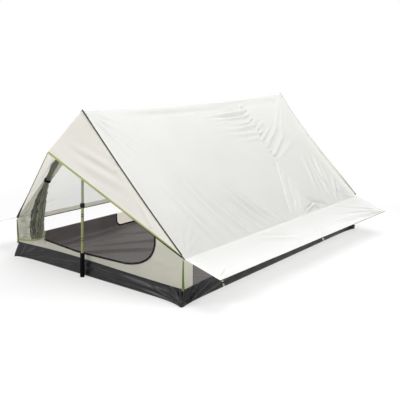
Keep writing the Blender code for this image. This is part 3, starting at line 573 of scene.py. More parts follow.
def fan(u: float, v: float, aims: tuple[float, float], count: int, reach: tuple[float, float], depth: float,
        width: float, seed: int) -> list[Crease]:
    """Folds that spread from a point where the cloth is pulled.

    Args:
        u: the point's place along the cloth.
        v: its place across the cloth.
        aims: first and last direction in degrees.
        count: how many folds.
        reach: shortest and longest fold in metres.
        depth: height of the highest fold.
        width: half width of the widest fold.
        seed: start of the even scatter.

    Returns:
        The folds.
    """
    chance = np.random.default_rng(seed)
    folds = []
    for index in range(count):
        aim = math.radians(aims[0] + (aims[1] - aims[0]) * (index + chance.uniform(0.2, 0.8)) / count)
        length = chance.uniform(*reach)
        start_u, start_v = u + 0.02 * math.cos(aim), v + 0.02 * math.sin(aim)
        bent = aim + chance.uniform(-0.1, 0.1)
        folds.append(Crease(start_u, start_v, start_u + length * math.cos(bent),
                            start_v + length * math.sin(bent),
                            depth * chance.uniform(0.45, 1.0) * (1 if index % 3 else -0.7),
                            width * chance.uniform(0.6, 1.0), chance.uniform(0.2, 0.8), 0.4, 0.25))
    return folds


def fans(*rows: Sequence) -> list[Crease]:
    """Folds of several fans, from rows of fan's values."""
    return [fold for row in rows for fold in fan(*row)]


def pressed(folds: Sequence[Crease], u: Array, v: Array) -> Array:
    """Height of all the folds together at places of the cloth."""
    return sum((fold.lift(u, v) for fold in folds), np.zeros(np.broadcast(u, v).shape))


def ripple(u: Array, v: Array, size: float, seed: int) -> Array:
    """Gentle uneven waves.

    Args:
        u: places along the cloth.
        v: places across the cloth.
        size: about how long the waves are.
        seed: start of the even scatter.

    Returns:
        Heights, mostly between -1 and 1.
    """
    chance, steps, total = np.random.default_rng(seed), 7, np.zeros(np.broadcast(u, v).shape)
    for _ in range(steps):
        aim, phase = chance.uniform(0, TURN, 2)
        pace = TURN / (size * chance.uniform(0.6, 1.7))
        total += np.sin(pace * (u * math.cos(aim) + v * math.sin(aim)) + phase)
    return total / steps ** 0.5 / 1.5


def unit(rows: Array) -> Array:
    """Directions scaled to length 1."""
    return rows / np.maximum(np.linalg.norm(rows, axis=-1, keepdims=True), 1e-12)


def grid_normals(grid: Array) -> Array:
    """Directions across a grid of points."""
    return unit(np.cross(np.gradient(grid, axis=0), np.gradient(grid, axis=1)))


def raised(grid: Array, lift: Array) -> Array:
    """The grid with each point lifted from the cloth by its height."""
    normal = grid_normals(grid)
    return grid + normal * np.sign(normal[..., 2:]) * lift[..., None]


def walked(points: Array, axis: int = 0) -> Array:
    """Distance along a path, or along a grid's rows or columns."""
    steps = np.linalg.norm(np.diff(points, axis=axis), axis=-1)
    return np.concatenate([np.zeros_like(np.take(steps, [0], axis)), np.cumsum(steps, axis=axis)], axis=axis)


def read_off(places: Array, known: Array, rows: Array) -> Array:
    """Rows between the known ones, at places by the same measure."""
    return np.stack([np.interp(places, known, column) for column in np.asarray(rows, float).T], axis=1)


def cut_area(grid: Array) -> float:
    """Area of a cloth measured over the cells of its grid."""
    a, b = grid[1:, 1:] - grid[:-1, :-1], grid[1:, :-1] - grid[:-1, 1:]
    return float(np.linalg.norm(np.cross(a, b), axis=2).sum() / 2)


def ease(value: Array, low: float, high: float) -> Array:
    """Smooth step from 0 to 1 between two values."""
    share = np.clip((value - low) / (high - low), 0.0, 1.0)
    return share * share * (3 - 2 * share)


def round_outline(radius: float, count: int = 10) -> Array:
    """A circle of points."""
    angles = np.arange(count) * TURN / count
    return radius * np.stack([np.cos(angles), np.sin(angles)], axis=1)


def flat_outline(thick: float, width: float) -> Array:
    """A flat strip's outline with softened edges."""
    a, b = thick / 2, width / 2
    return np.array([(-a, -b + a), (0.0, -b), (a, -b + a), (a, b - a), (0.0, b), (-a, b - a)])


def cells(rows: int, columns: int, round_columns: bool = False, round_rows: bool = False) -> Array:
    """Four-sided faces between points that are numbered row by row.

    Args:
        rows: how many rows.
        columns: how many columns.
        round_columns: whether each row meets itself.
        round_rows: whether the last row meets the first.

    Returns:
        Point numbers, one row for each face.
    """
    number = np.arange(rows * columns).reshape(rows, columns)
    number = np.pad(number, ((0, int(round_rows)), (0, int(round_columns))), mode="wrap")
    corners = [number[:-1, :-1], number[:-1, 1:], number[1:, 1:], number[1:, :-1]]
    return np.stack(corners, axis=-1).reshape(-1, 4)


def tube(rows: int, ring: int, closed: bool) -> list[list[int]]:
    """Faces of a row of rings, with flat ends unless it is closed on itself."""
    ends = [] if closed else [list(range(ring))[::-1], list(range((rows - 1) * ring, rows * ring))]
    return cells(rows, ring, True, closed).tolist() + ends


def box(name: str) -> tuple[Array, Array, Array]:
    """Low corner, high corner and middle of a plain solid."""
    low, high = (np.array(corner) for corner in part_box(name))
    return low, high, (low + high) / 2


class Bench:
    """Makes mesh objects, dresses them and settles them on their bodies.

    Each maker passes home on to piece: the body that carries the piece, the plain solids that it stands for,
    and the record's slot where it isn't the finish's own.
    """

    def __init__(self, finishes: Sequence[Cloth | Hard]) -> None:
        """Make every finish once.

        Args:
            finishes: the finishes.
        """
        self.finishes = {finish.name: finish.make() for finish in finishes}
        self.slots = {finish.name: finish.slot for finish in finishes}
        self.made: list[str] = []

    def piece(self, name: str, verts: Array, faces: Array | list, finish: str, maps: Array | None = None,
              sharp: float = 60.0, body: str = "tent", nodes: Sequence[str] = (), slot: str = "") -> Piece:
        """Make one object.

        Args:
            name: the piece's name.
            verts: its points.
            faces: its faces by point number.
            finish: the name of its finish.
            maps: place of each point on the flat cloth.
            sharp: angle above which an edge shows, in degrees.
            body: the body that carries it.
            nodes: the plain solids that it stands for.
            slot: the record's material slot, where it isn't the finish's own; not used.

        Returns:
            The new object.
        """
        mesh = bpy.data.meshes.new(name)
        mesh.from_pydata(np.asarray(verts, float).tolist(), [], [tuple(map(int, face)) for face in faces])
        if maps is not None:
            layer, index = mesh.uv_layers.new(name="cloth"), np.empty(len(mesh.loops), dtype=np.int32)
            mesh.loops.foreach_get("vertex_index", index)
            layer.data.foreach_set("uv", np.asarray(maps, np.float32)[index].ravel())
        work = bmesh.new()
        work.from_mesh(mesh)
        bmesh.ops.recalc_face_normals(work, faces=work.faces)
        work.to_mesh(mesh)
        work.free()
        mesh.shade_smooth()
        mesh.set_sharp_from_angle(angle=math.radians(sharp))
        mesh.materials.append(self.finishes[finish])
        piece = bpy.data.objects.new(name, mesh)
        bpy.context.scene.collection.objects.link(piece)
        self.made.append(name)
        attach(piece, body)
        if nodes:
            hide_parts(*nodes)
        return piece

    def declare(self, piece: Piece, grid: Array, flat: tuple[float, float], rests_on: Sequence[str],
                held: str = "stretched", area: float = 0.0) -> None:
        """Take how large a cloth is as cut, its area, and how and by what it is held; nothing is done with
        them.
        """

    def skin(self, name: str, grid: Array, finish: str, maps: Array | None = None, closed: bool = False,
             **home: object) -> Piece:
        """Make a thin cloth over a grid, as one surface that light passes.

        Args:
            name: the piece's name.
            grid: points in rows and columns.
            finish: the name of its finish.
            maps: place of each point on the flat cloth; measured along the grid if not given.
            closed: whether each row runs round and meets itself.
            home: passed on to piece.

        Returns:
            The new object.
        """
        maps = np.stack([walked(grid, 1), walked(grid, 0)], axis=2) if maps is None else maps
        faces = cells(*grid.shape[:2], closed)
        return self.piece(name, grid.reshape(-1, 3), faces, finish, maps.reshape(-1, 2), **home)

    def lined(self, name: str, grid: Array, finishes: tuple[str, str], thick: float, maps: Array,
              **home: object) -> Piece:
        """Make a coated cloth that runs round, with an outer and an inner face.

        Args:
            name: the piece's name.
            grid: points in rows that meet themselves.
            finishes: the names of its outer and its inner finish.
            thick: thickness of the cloth.
            maps: place of each point on the flat cloth.
            home: passed on to piece.

        Returns:
            The new object.
        """
        rows, columns, _ = grid.shape
        wide = np.concatenate([grid[:, -1:], grid, grid[:, :1]], axis=1)
        offset = grid_normals(wide)[:, 1:-1] * thick / 2
        outer, total = cells(rows, columns, True), rows * columns
        sides = []
        for row, way in ((0, 1), (rows - 1, -1)):
            rim = np.append(np.arange(columns), 0)[::way] + row * columns
            sides.append(np.stack([rim[1:], rim[:-1], rim[:-1] + total, rim[1:] + total], axis=-1))
        faces = np.concatenate([outer, outer[:, ::-1] + total, *sides])
        verts = np.concatenate([(grid + offset).reshape(-1, 3), (grid - offset).reshape(-1, 3)])
        piece = self.piece(name, verts, faces, finishes[0], np.concatenate([maps.reshape(-1, 2)] * 2), **home)
        piece.data.materials.append(self.finishes[finishes[1]])
        inner = np.arange(len(faces)) // len(outer) == 1
        piece.data.polygons.foreach_set("material_index", inner.astype(np.int32))
        return piece

    def sweep(self, name: str, path: Array, section: Array, finish: str, up: Array | Triple = (0.0, 1.0, 0.0),
              sizes: Array | None = None, closed: bool = False, sharp: float = 40.0, **home: object) -> Piece:
        """Carry a section along a path; its first axis lies along up.

        Args:
            name: the piece's name.
            path: points of the path.
            section: outline to carry, as pairs.
            finish: the name of its finish.
            up: one direction, or one for each point.
            sizes: size of the section's second axis at each point, or of both.
            closed: whether the path meets itself.
            sharp: angle above which an edge shows, in degrees.
            home: passed on to piece.

        Returns:
            The new object.
        """
        count, ring = len(path), len(section)
        ahead = np.roll(path, -1, axis=0) - np.roll(path, 1, axis=0) if closed else np.gradient(path, axis=0)
        ahead = unit(ahead)
        side = unit(np.cross(ahead, np.broadcast_to(np.asarray(up, float), path.shape)))
        lift = np.cross(side, ahead)
        both = np.ones((count, 2)) if sizes is None else np.asarray(sizes, float)
        if both.ndim == 1:
            both = np.stack([np.ones(count), both], axis=1)
        rise = section[None, :, 0, None] * both[:, 0, None, None] * lift[:, None, :]
        spread = section[None, :, 1, None] * both[:, 1, None, None] * side[:, None, :]
        maps = np.stack([np.repeat(walked(path), ring), np.tile(section[:, 1], count)], axis=1)
        verts = (path[:, None, :] + rise + spread).reshape(-1, 3)
        return self.piece(name, verts, tube(count, ring, closed), finish, maps, sharp, **home)

    def stitches(self, name: str, path: Array, normal: Array | Triple, pitch: float = 0.006,
                 length: float = 0.004, **home: object) -> Piece:
        """Sew a row of thread along a path.

        Args:
            name: the piece's name.
            path: points of the path.
            normal: direction away from the cloth, one or one for each point.
            pitch: distance between stitches.
            length: length of one stitch.
            home: passed on to piece.

        Returns:
            The new object.
        """
        width, known = 0.0006, walked(path)
        centres = np.arange(pitch, known[-1] - pitch, pitch)
        first, last = (read_off(centres + way * length / 2, known, path) for way in (-1, 1))
        up = unit(read_off(centres, known, np.broadcast_to(np.asarray(normal, float), path.shape)))
        side, lift = np.cross(unit(last - first), up) * width / 2, up * width * 0.55
        middle = (first + last) / 2
        verts = np.stack([first, middle + side, middle + lift, middle - side, last, middle - lift * 0.4],
                         axis=1)
        block = np.array([(0, 1, 2), (0, 2, 3), (4, 2, 1), (4, 3, 2), (0, 5, 1), (0, 3, 5), (4, 1, 5),
                          (4, 5, 3)])
        faces = (block[None] + 6 * np.arange(len(centres))[:, None, None]).reshape(-1, 3)
        return self.piece(name, verts.reshape(-1, 3), faces, "thread", **home)


@dataclass
class Part:
    """A sub-assembly.

    Attributes:
        pitch: the tent's main lines, which it follows.
        bench: makes its pieces.
    """

    pitch: Pitch
    bench: Bench

    def build(self) -> None:
        """Build all its pieces."""
        raise NotImplementedError


# Folds of the roof's right side, read off as they hang: where each starts and ends in mm, its depth and half
# width in tenths of a mm, and how crisp it is, its lean and its peak in hundredths.
RIGHT_FOLDS = (
    (550, 22, 2270, 20, -60, 200, 20, 30, 60), (780, 130, 1660, 98, 66, 130, 50, 90, 75),
    (860, 153, 1630, 151, 66, 130, 50, 90, 80), (980, 188, 1650, 182, 62, 120, 50, 90, 75),
    (1180, 216, 1670, 204, 66, 120, 60, 90, 75), (1200, 244, 1700, 236, 66, 120, 60, 90, 70),
    (950, 284, 1670, 309, 56, 160, 30, 80, 75), (1250, 352, 1640, 352, 46, 180, 30, 80, 75),
    (420, 84, 1500, 86, 34, 160, 30, 50, 65), (1520, 157, 1640, 140, 35, 80, 60, 90, 50),
    (1550, 231, 1720, 194, 45, 80, 60, 90, 50), (1610, 286, 1790, 210, 55, 100, 60, 90, 30),
    (1580, 378, 1800, 284, 55, 100, 60, 90, 35), (1600, 437, 1930, 273, 70, 140, 60, 90, 25),
    (1600, 531, 1960, 351, 75, 150, 60, 90, 25), (1640, 480, 1990, 330, 40, 160, 20, 80, 35),
    (1660, 560, 2050, 420, 35, 180, 20, 80, 35), (1630, 40, 1645, 330, -35, 80, 70, 50, 50),
    (1640, 300, 1595, 600, -40, 80, 70, 50, 50), (1608, 545, 1225, 1100, 100, 70, 100, 90, 45),
    (1579, 633, 1268, 1078, -46, 80, 80, 60, 50), (1593, 725, 1400, 985, 70, 75, 90, 90, 50),
    (1470, 910, 1290, 1095, 75, 85, 80, 90, 50), (1560, 870, 1362, 1103, 90, 80, 90, 90, 50),
    (1640, 740, 1480, 960, 36, 110, 50, 80, 50), (1559, 967, 1801, 1090, 78, 85, 90, 90, 45),
    (1566, 1030, 1642, 1110, 65, 80, 90, 90, 50), (1434, 1095, 1635, 1037, 80, 85, 90, 90, 50),
    (2046, 1030, 2234, 1120, 35, 100, 60, 80, 50), (2113, 457, 1921, 1074, 36, 160, 40, 90, 70),
    (2164, 600, 1948, 990, 50, 180, 30, 80, 40), (2216, 830, 1950, 1090, 45, 170, 30, 80, 40),
    (2010, 560, 1800, 960, 40, 220, 20, 80, 50), (760, 600, 992, 1105, 55, 170, 40, 90, 60),
    (700, 640, 900, 1100, 50, 200, 30, 90, 60), (620, 600, 800, 1100, 50, 200, 30, 90, 70),
    (500, 600, 665, 1100, 55, 210, 30, 90, 70), (376, 397, 540, 1095, 45, 220, 20, 90, 70),
    (206, 493, 345, 1080, 40, 200, 20, 90, 70), (890, 700, 1060, 1100, 40, 220, 20, 80, 70),
    (1010, 820, 1120, 1100, 35, 200, 20, 80, 70),
)
FOLD_UNITS = np.array([1e3] * 4 + [1e4] * 2 + [1e2] * 3)


@dataclass
class Canopy(Part):
    """The fly: one roof sheet over the ridge, two beaks, two skirts, pipings and bindings.

    Attributes:
        length: the roof's length on the flat cloth.
        slope: the roof's width from ridge to eave on the flat cloth.
        margin: share of the roof left free for the seam piping at each end.
        panel_seam: where the panels of the right side are sewn together.
        binding: width and thickness of the beaks' edge tape.
        reach: a skirt's width.
        hem: width of a skirt's folded hem.
        blunting: how the ridge line is rounded, as a share of the slope.
    """

    length: float = 2.29
    slope: float = 1.11
    margin: float = 0.0015
    panel_seam: float = 1.63
    binding: tuple[float, float] = (0.013, 0.0024)
    reach: float = 0.268
    hem: float = 0.012
    blunting: float = 0.006

    def right_folds(self) -> list[Crease]:
        """Folds of the side that has no door, with the puckers of its panel seam.

        Returns:
            The folds.
        """
        folds = [Crease(*(np.array(row) / FOLD_UNITS)) for row in RIGHT_FOLDS]
        for step in range(26):
            v = 0.05 + 0.55 * step / 26
            u = self.panel_seam + float(np.interp(v, (0.04, 0.32, 0.6), (0.000, 0.016, -0.03)))
            depth = 0.003 * (-1) ** step
            folds.append(Crease(u - 0.028, v + 0.006, u + 0.028, v - 0.006, depth, 0.009, 0.6, 0.4))
        return folds + fans((0.01, 0.02, (20, 75), 7, (0.25, 0.6), 0.003, 0.02, 3),
                            (2.26, 0.03, (112, 168), 7, (0.2, 0.55), 0.0032, 0.018, 5),
                            (2.28, 1.09, (200, 262), 6, (0.18, 0.45), 0.0035, 0.016, 8),
                            (0.02, 1.09, (-80, -20), 6, (0.15, 0.42), 0.0032, 0.015, 13))

    def left_folds(self) -> list[Crease]:
        """Folds of the side with the door, pulled from its corners and from mid length.

        Returns:
            The folds.
        """
        folds = fans((0.01, 0.02, (20, 78), 9, (0.25, 0.7), 0.0045, 0.02, 21),
                     (2.26, 0.03, (108, 166), 9, (0.25, 0.65), 0.0045, 0.019, 22),
                     (2.28, 1.09, (195, 262), 8, (0.2, 0.55), 0.005, 0.017, 23),
                     (0.02, 1.09, (-82, -15), 8, (0.2, 0.55), 0.005, 0.017, 24),
                     (1.2, 1.1, (-125, -60), 8, (0.25, 0.55), 0.0055, 0.018, 25),
                     (0.75, 0.05, (35, 140), 7, (0.15, 0.4), 0.004, 0.016, 26))
        return folds + creases((0.3, 0.022, 1.9, 0.02, -0.005, 0.02, 0.2, 0.3))

    def roof_grid(self, rows: int = 361, columns: int = 421) -> tuple[Array, Array]:
        """The roof's points and their places on the flat cloth.

        Args:
            rows: points from the left eave to the right one.
            columns: points from front to rear.

        Returns:
            The points, and the flat places.
        """
        spread = np.linspace(-1.0, 1.0, rows)
        even = np.linspace(self.margin, 1 - self.margin, 801)
        crowd = np.cumsum(1 + 1.3 * np.exp(-((even * self.length - 1.52) / 0.26) ** 2))
        along = np.interp(np.linspace(crowd[0], crowd[-1], columns), crowd, even)
        down, along = np.meshgrid(np.sign(spread) * np.abs(spread) ** 1.15, along, indexing="ij")
        base = self.pitch.roof(np.sqrt(down ** 2 + self.blunting ** 2), along)
        base[..., 0] = down * self.pitch.eave[0]
        u, v = along * self.length, np.abs(down) * self.slope
        across = v * np.sign(down)
        lift = np.where(down > 0, 2.3 * pressed(self.right_folds(), u, v),
                        1.8 * pressed(self.left_folds(), u, v))
        lift += 0.0022 * ripple(u, across, 0.55, 31) + 0.0007 * ripple(u, across, 0.16, 32)
        calm = ease(u, 0, 0.1) * ease(self.length - u, 0, 0.14) * ease(self.slope - v, 0, 0.02)
        calm *= 0.25 + 0.75 * ease(v, 0, 0.03)
        shoulder = 0.0085 * (1 - ease(v, 0.014, 0.05)) - 0.013 * np.exp(-((v - 0.058) / 0.024) ** 2)
        lift += shoulder * ease(u, 0.15, 0.7) * ease(self.length - u, 0, 0.25)
        return raised(base, lift * calm), np.stack([u, across], axis=2)

    def build_roof(self) -> None:
        """Sew the roof and its ridge seam."""
        grid, places = self.roof_grid()
        roof = self.bench.skin("roof_sheet", grid, "fly", places,
                               nodes=("roof_panel_left", "roof_panel_right"))
        self.bench.declare(roof, grid, (2 * self.slope, self.length),
                           ["apex_grommet_front", "apex_grommet_rear"])
        for side in Side:
            row = grid[len(grid) // 2 + 3 * side.value]
            self.bench.stitches(f"ridge_stitching_{side.word}", row + (0, 0, 0.0007),
                                (0.55 * side.value, 0.0, 0.83))

    def build_pipings(self) -> None:
        """Cover the front and the rear seam."""
        down = np.linspace(-0.972, 0.972, 141)
        for end, width, finish in ((End.FRONT, 0.0092, "seam"), (End.REAR, 0.007, "pale_seam")):
            path = self.pitch.seam(end, down)
            out = unit(np.cross(np.gradient(path, axis=0), self.pitch.edge(end, down) - path))
            out = (out * np.sign(out[:, 2:])
                   + np.stack([0.72 * np.sign(down), 0 * down, 0.69 + 0 * down], axis=1))
            out[np.abs(down) < 0.03] = (0.0, end.value * 0.4, 0.9)
            out = unit(out)
            self.bench.sweep(end.word + "_seam_cord", path + 0.0021 * out, flat_outline(0.0026, width),
                             finish, out,
                        nodes=(end.word + "_seam_piping",))

    def beak_grid(self, end: End, rows: int = 121, columns: int = 31) -> Array:
        """Points of a beak.

        Args:
            end: which beak.
            rows: points from the left eave over the tip to the right one.
            columns: points from the seam to the free edge.

        Returns:
            The points.
        """
        down = np.linspace(-0.968, 0.968, rows)
        soft = np.sign(down) * np.sqrt(down ** 2 + self.blunting ** 2)
        soft[down == 0] = 1e-9
        inner, outer = self.pitch.seam(end, soft), self.pitch.edge(end, soft)
        inner[:, 0] = outer[:, 0] = down * self.pitch.eave[0]
        reach = np.linalg.norm(outer - inner, axis=1)[:, None]
        share = mix(0.0035 / reach, 1 - 0.002 / reach, np.linspace(0, 1, columns)[None, :])
        u, v = share * reach, down[:, None] * self.slope + 0 * share
        folds = creases(*(row for side in (-1, 1) for row in (
            (0.21, side * 0.05, 0.015, side * 0.47, 0.0038, 0.016, 0.5, 0.9, 0.6),
            (0.23, side * 0.16, 0.03, side * 0.58, 0.0026, 0.02, 0.3, 0.8),
            (0.004, side * 0.385, 0.075, side * 0.345, 0.0062, 0.008, 0.6, 0.8, 0.3),
            (0.004, side * 0.43, 0.065, side * 0.4, 0.006, 0.008, 0.6, 0.8, 0.3),
            (0.004, side * 0.475, 0.08, side * 0.455, 0.0055, 0.009, 0.6, 0.8, 0.3),
            (0.02, side * 0.62, 0.08, side * 0.98, 0.0035, 0.014, 0.5))))
        seed = end.pick((41, 44))
        lift = (1.1 * pressed(folds, u, v) + 0.0022 * ripple(u, v, 0.3, seed)
                + 0.0006 * ripple(u, v, 0.09, seed + 1))
        calm = ease(u, 0, 0.014) * ease(reach - u, 0, 0.03)
        return raised(mix(inner[:, None], outer[:, None], share[..., None]), lift * calm)

    def build_beaks(self) -> None:
        """Sew the two beaks, bind their free edges with tape, and lay a dark cord of painted shade under each
        tape.
        """
        width, thick = self.binding
        for end in End:
            grid, word = self.beak_grid(end), end.word
            beak = self.bench.skin(word + "_beak_sheet", grid, "beak_fly",
                                   nodes=(word + "_beak_left", word + "_beak_right"))
            self.bench.declare(beak, grid, (0.33, 2 * self.slope), [word + "_seam_cord"])
            down = np.linspace(-0.985, 0.985, 121)
            down[60] = 1e-9
            path = self.pitch.edge(end, down)
            inward = unit(self.pitch.seam(end, down) - path)
            normal = np.cross(np.gradient(path, axis=0), inward)
            normal *= np.sign(normal[:, 2:])
            blunt = np.clip((1 - np.abs(down)) / 0.1, 0.35, 1.0)
            path = path + inward * (width / 2 - 0.003) * blunt[:, None]
            self.bench.sweep(word + "_beak_edge_tape", path, flat_outline(thick, width), "edging", normal,
                             blunt,
                        nodes=(word + "_beak_binding",))
            # A dark cord under the edge tape, thicker towards the eave corners: painted shade of the tape's
            # underside.
            fold = path - inward * (width * 0.42) * blunt[:, None] - normal * 0.001
            swell = 0.08 + 1.9 * ease(np.abs(down), 0.45, 0.95) + 1.2 * ease(-down, 0.7, 0.98)
            self.bench.sweep(word + "_beak_edge_fold", fold, round_outline(0.0022), "seam", normal,
                        np.stack([swell, swell], axis=1), slot="beak_binding")

    def skirt_grid(self, side: Side, rows: int = 61, columns: int = 361) -> tuple[Array, Array]:
        """Points of a skirt and their places on the flat cloth.

        Args:
            side: which skirt.
            rows: points from the eave out to the hem.
            columns: points from front to rear.

        Returns:
            The points, and the flat places.
        """
        reach, hem = self.reach, self.hem / self.reach
        share = np.concatenate([np.linspace(0.0, 1 - hem - 0.004, rows - 4),
                                1 - hem * np.array([1.0, 0.66, 0.33, 0.0])])
        share, along = np.meshgrid(share, np.linspace(0, 1, columns), indexing="ij")
        inner = mix(self.pitch.corner(End.FRONT), self.pitch.corner(End.REAR), along[..., None])
        u, v = along * self.length, share * reach
        folds = fans((self.length - 0.01, reach - 0.01, (181, 214), 11, (0.35, 0.9), 0.0072, 0.009,
                      51 if side is Side.RIGHT else 61),
                     (0.01, reach - 0.01, (-55, -3), 6, (0.12, 0.4), 0.0032, 0.01, 52),
                     (1.19, reach - 0.004, (-150, -30), 5, (0.08, 0.22), 0.0014, 0.009, 53))
        folds += creases((0.02, 0.02, 0.1, 0.25, 0.003, 0.012, 0.4, 0.9),
                         (0.6, 0.03, 1.05, 0.2, 0.0028, 0.02, 0.2, 0.8))
        lift = 2.4 * pressed(folds, u, v) + 0.002 * ripple(u, v, 0.28, 54) + 0.0006 * ripple(u, v, 0.08, 55)
        calm = ease(v, 0, 0.03) * ease(u, -0.02, 0.05) * ease(self.length - u, -0.02, 0.05)
        calm *= 0.35 + 0.65 * ease(reach - v, 0, 0.05)
        grid = raised(mix(inner, self.pitch.hem(along), share[..., None]), lift * calm)
        return grid * (side.value, 1, 1), np.stack([u, v], axis=2)

    def build_skirts(self) -> None:
        """Sew the two skirts, each with a stitched hem."""
        for side in Side:
            word, body = side.word, "skirt_" + side.word
            grid, places = self.skirt_grid(side)
            skirt = self.bench.skin("skirt_sheet_" + word, grid, "fly", places, body=body,
                                    nodes=("side_skirt_" + word,))
            self.bench.declare(skirt, grid, (0.272, self.length), ["roof_sheet"])
            self.bench.stitches("skirt_hem_stitching_" + word, grid[-4] + (0, 0, 0.0013),
                                (0.2 * side.value, 0, 0.98), body=body)
            self.bench.sweep("skirt_hem_edge_" + word, grid[-1] + (0.0006 * side.value, 0, -0.0006),
                             round_outline(0.0016, 8),
                        "seam", body=body)

    def build(self) -> None:
        """Build the whole fly."""
        self.build_roof()
        self.build_pipings()
        self.build_beaks()
        self.build_skirts()


@dataclass
class Tub(Part):
    """The groundsheet with its low walls, the side door's panel and zip.

    Attributes:
        corner: radius of the corners seen from above.
        thick: thickness of the coated cloth.
        door_ends: y of the side door's front and rear edge.
        door_radius: radius of its lower corners.
        door_foot: height of its lower edge.
        zip_width: width of its zip.
        reaches: how far each corner's foot is pulled out along x and y.
        pleat: depth of the pleats beside a corner, and their share at the left corners.
    """

    corner: float = 0.02
    thick: float = 0.0013
    door_ends: tuple[float, float] = (-0.142, 0.58)
    door_radius: float = 0.055
    door_foot: float = 0.016
    zip_width: float = 0.008
    reaches: tuple[tuple[float, float], ...] = ((0.024, 0.021), (0.022, 0.02), (0.018, 0.035), (0.022, 0.02))
    pleat: tuple[float, float] = (0.027, 0.12)

    def door_line(self, y: Array) -> Array:
        """Height of the side door's lower edge, and a large number beside the door.

        Args:
            y: how far back the places are.

        Returns:
            The heights.
        """
        front, rear = self.door_ends
        off = np.maximum(np.maximum(front + self.door_radius - y, y - rear + self.door_radius), 0.0)
        dip = np.sqrt(np.maximum(self.door_radius ** 2 - off ** 2, 0.0))
        return np.where((y > front) & (y < rear), self.door_foot + self.door_radius - dip, 9.0)

    def outline(self) -> tuple[Array, Array, Array]:
        """Columns round the walls, from the front left.

        Returns:
            Points of the outline, outward directions, and places on each side from -1 to 1.
        """
        reach = np.array([self.pitch.half_width, self.pitch.half_length]) - self.corner
        (front, rear), radius = self.door_ends, self.door_radius
        arc = np.linspace(0.004, 0.5, 14) * math.pi
        left_ys = np.concatenate([
            mix(-reach[1], front - 0.0004, np.linspace(0, 1, 90) ** 1.5), front + radius * (1 - np.cos(arc)),
            np.linspace(front + radius, rear - radius, 46)[1:-1],
            rear - radius * (1 - np.cos(arc[::-1])), np.linspace(rear + 0.0004, reach[1], 40)])
        even = np.linspace(-1, 1, 181)
        dense = 0.35 * even + 0.65 * np.sin(even * math.pi / 2)
        points, outs, spans = [], [], []
        sides = ((dense, 0, -1, 1), (dense, 1, 1, 1), (-dense, 0, 1, -1),
                 (left_ys[::-1] / reach[1], 1, -1, -1))
        for index, (steps, axis, sign, last) in enumerate(sides):
            out = np.zeros(2)
            out[1 - axis] = sign
            span = np.zeros((len(steps), 2))
            span[:, axis], span[:, 1 - axis] = steps, sign
            turns = np.radians(90 * (index - 1) + 90 * np.arange(1, 8) / 8)
            bend = np.stack([np.cos(turns), np.sin(turns)], axis=1)
            end = np.zeros(2)
            end[axis], end[1 - axis] = last, sign
            points += [span * reach + out * self.corner, end * reach + bend * self.corner]
            outs += [np.tile(out, (len(steps), 1)), bend]
            spans += [span, np.tile(end, (7, 1))]
        return np.concatenate(points), np.concatenate(outs), np.concatenate(spans)

    def wall_folds(self) -> list[Crease]:
        """Folds of the walls by distance round the outline and height, from the front left.

        Returns:
            The folds.
        """
        wide, long = 2 * self.pitch.half_width, 2 * self.pitch.half_length
        places = enumerate((0.0, wide, wide + long, 2 * wide + long, 2 * (wide + long)))
        folds = fans(*(row for index, place in places for row in (
            (place - 0.01, 0.004, (120, 174), 4, (0.2, 0.5), 0.005, 0.014, 71 + index),
            (place + 0.01, 0.004, (60, 6), 4, (0.2, 0.5), 0.005, 0.014, 81 + index))))
        return folds + creases((wide - 0.62, 0.082, wide - 0.03, 0.03, 0.004, 0.011, 0.4, 0.8),
                               (wide - 0.95, 0.075, wide - 0.2, 0.045, 0.003, 0.012, 0.3, 0.8),
                               (0.05, 0.015, 0.35, 0.11, 0.003, 0.013, 0.3, 0.8),
                               (0.2, 0.02, 0.75, 0.085, 0.0028, 0.013, 0.3, 0.8),
                               (wide + 0.1, 0.02, wide + 0.55, 0.08, 0.003, 0.012, 0.3, 0.8))

    def floor_folds(self) -> list[Crease]:
        """Folds that lie across the floor, by x and y.

        Returns:
            The folds.
        """
        return creases((-0.6, -1.00, 0.55, 0.35, 0.006, 0.015, 0.8),
                       (-0.65, -0.85, 0.35, 0.75, 0.0062, 0.016, 0.8),
                       (-0.3, -1.05, 0.68, -0.25, 0.0055, 0.015, 0.8),
                       (-0.68, -0.45, 0.1, 1.00, 0.0055, 0.016, 0.8),
                       (-0.7, 0.2, 0.45, 0.95, 0.005, 0.018, 0.6),
                       (0.1, -1.05, 0.66, 0.7, 0.0045, 0.018, 0.6),
                       (-0.7, -0.98, -0.46, 0.1, 0.0065, 0.013, 0.9),
                       (-0.69, -0.7, -0.4, 0.4, 0.0055, 0.014, 0.8),
                       (-0.66, -1.04, -0.1, -0.42, 0.006, 0.013, 0.9),
                       (0.05, -1.06, 0.62, -0.62, 0.005, 0.014, 0.8))

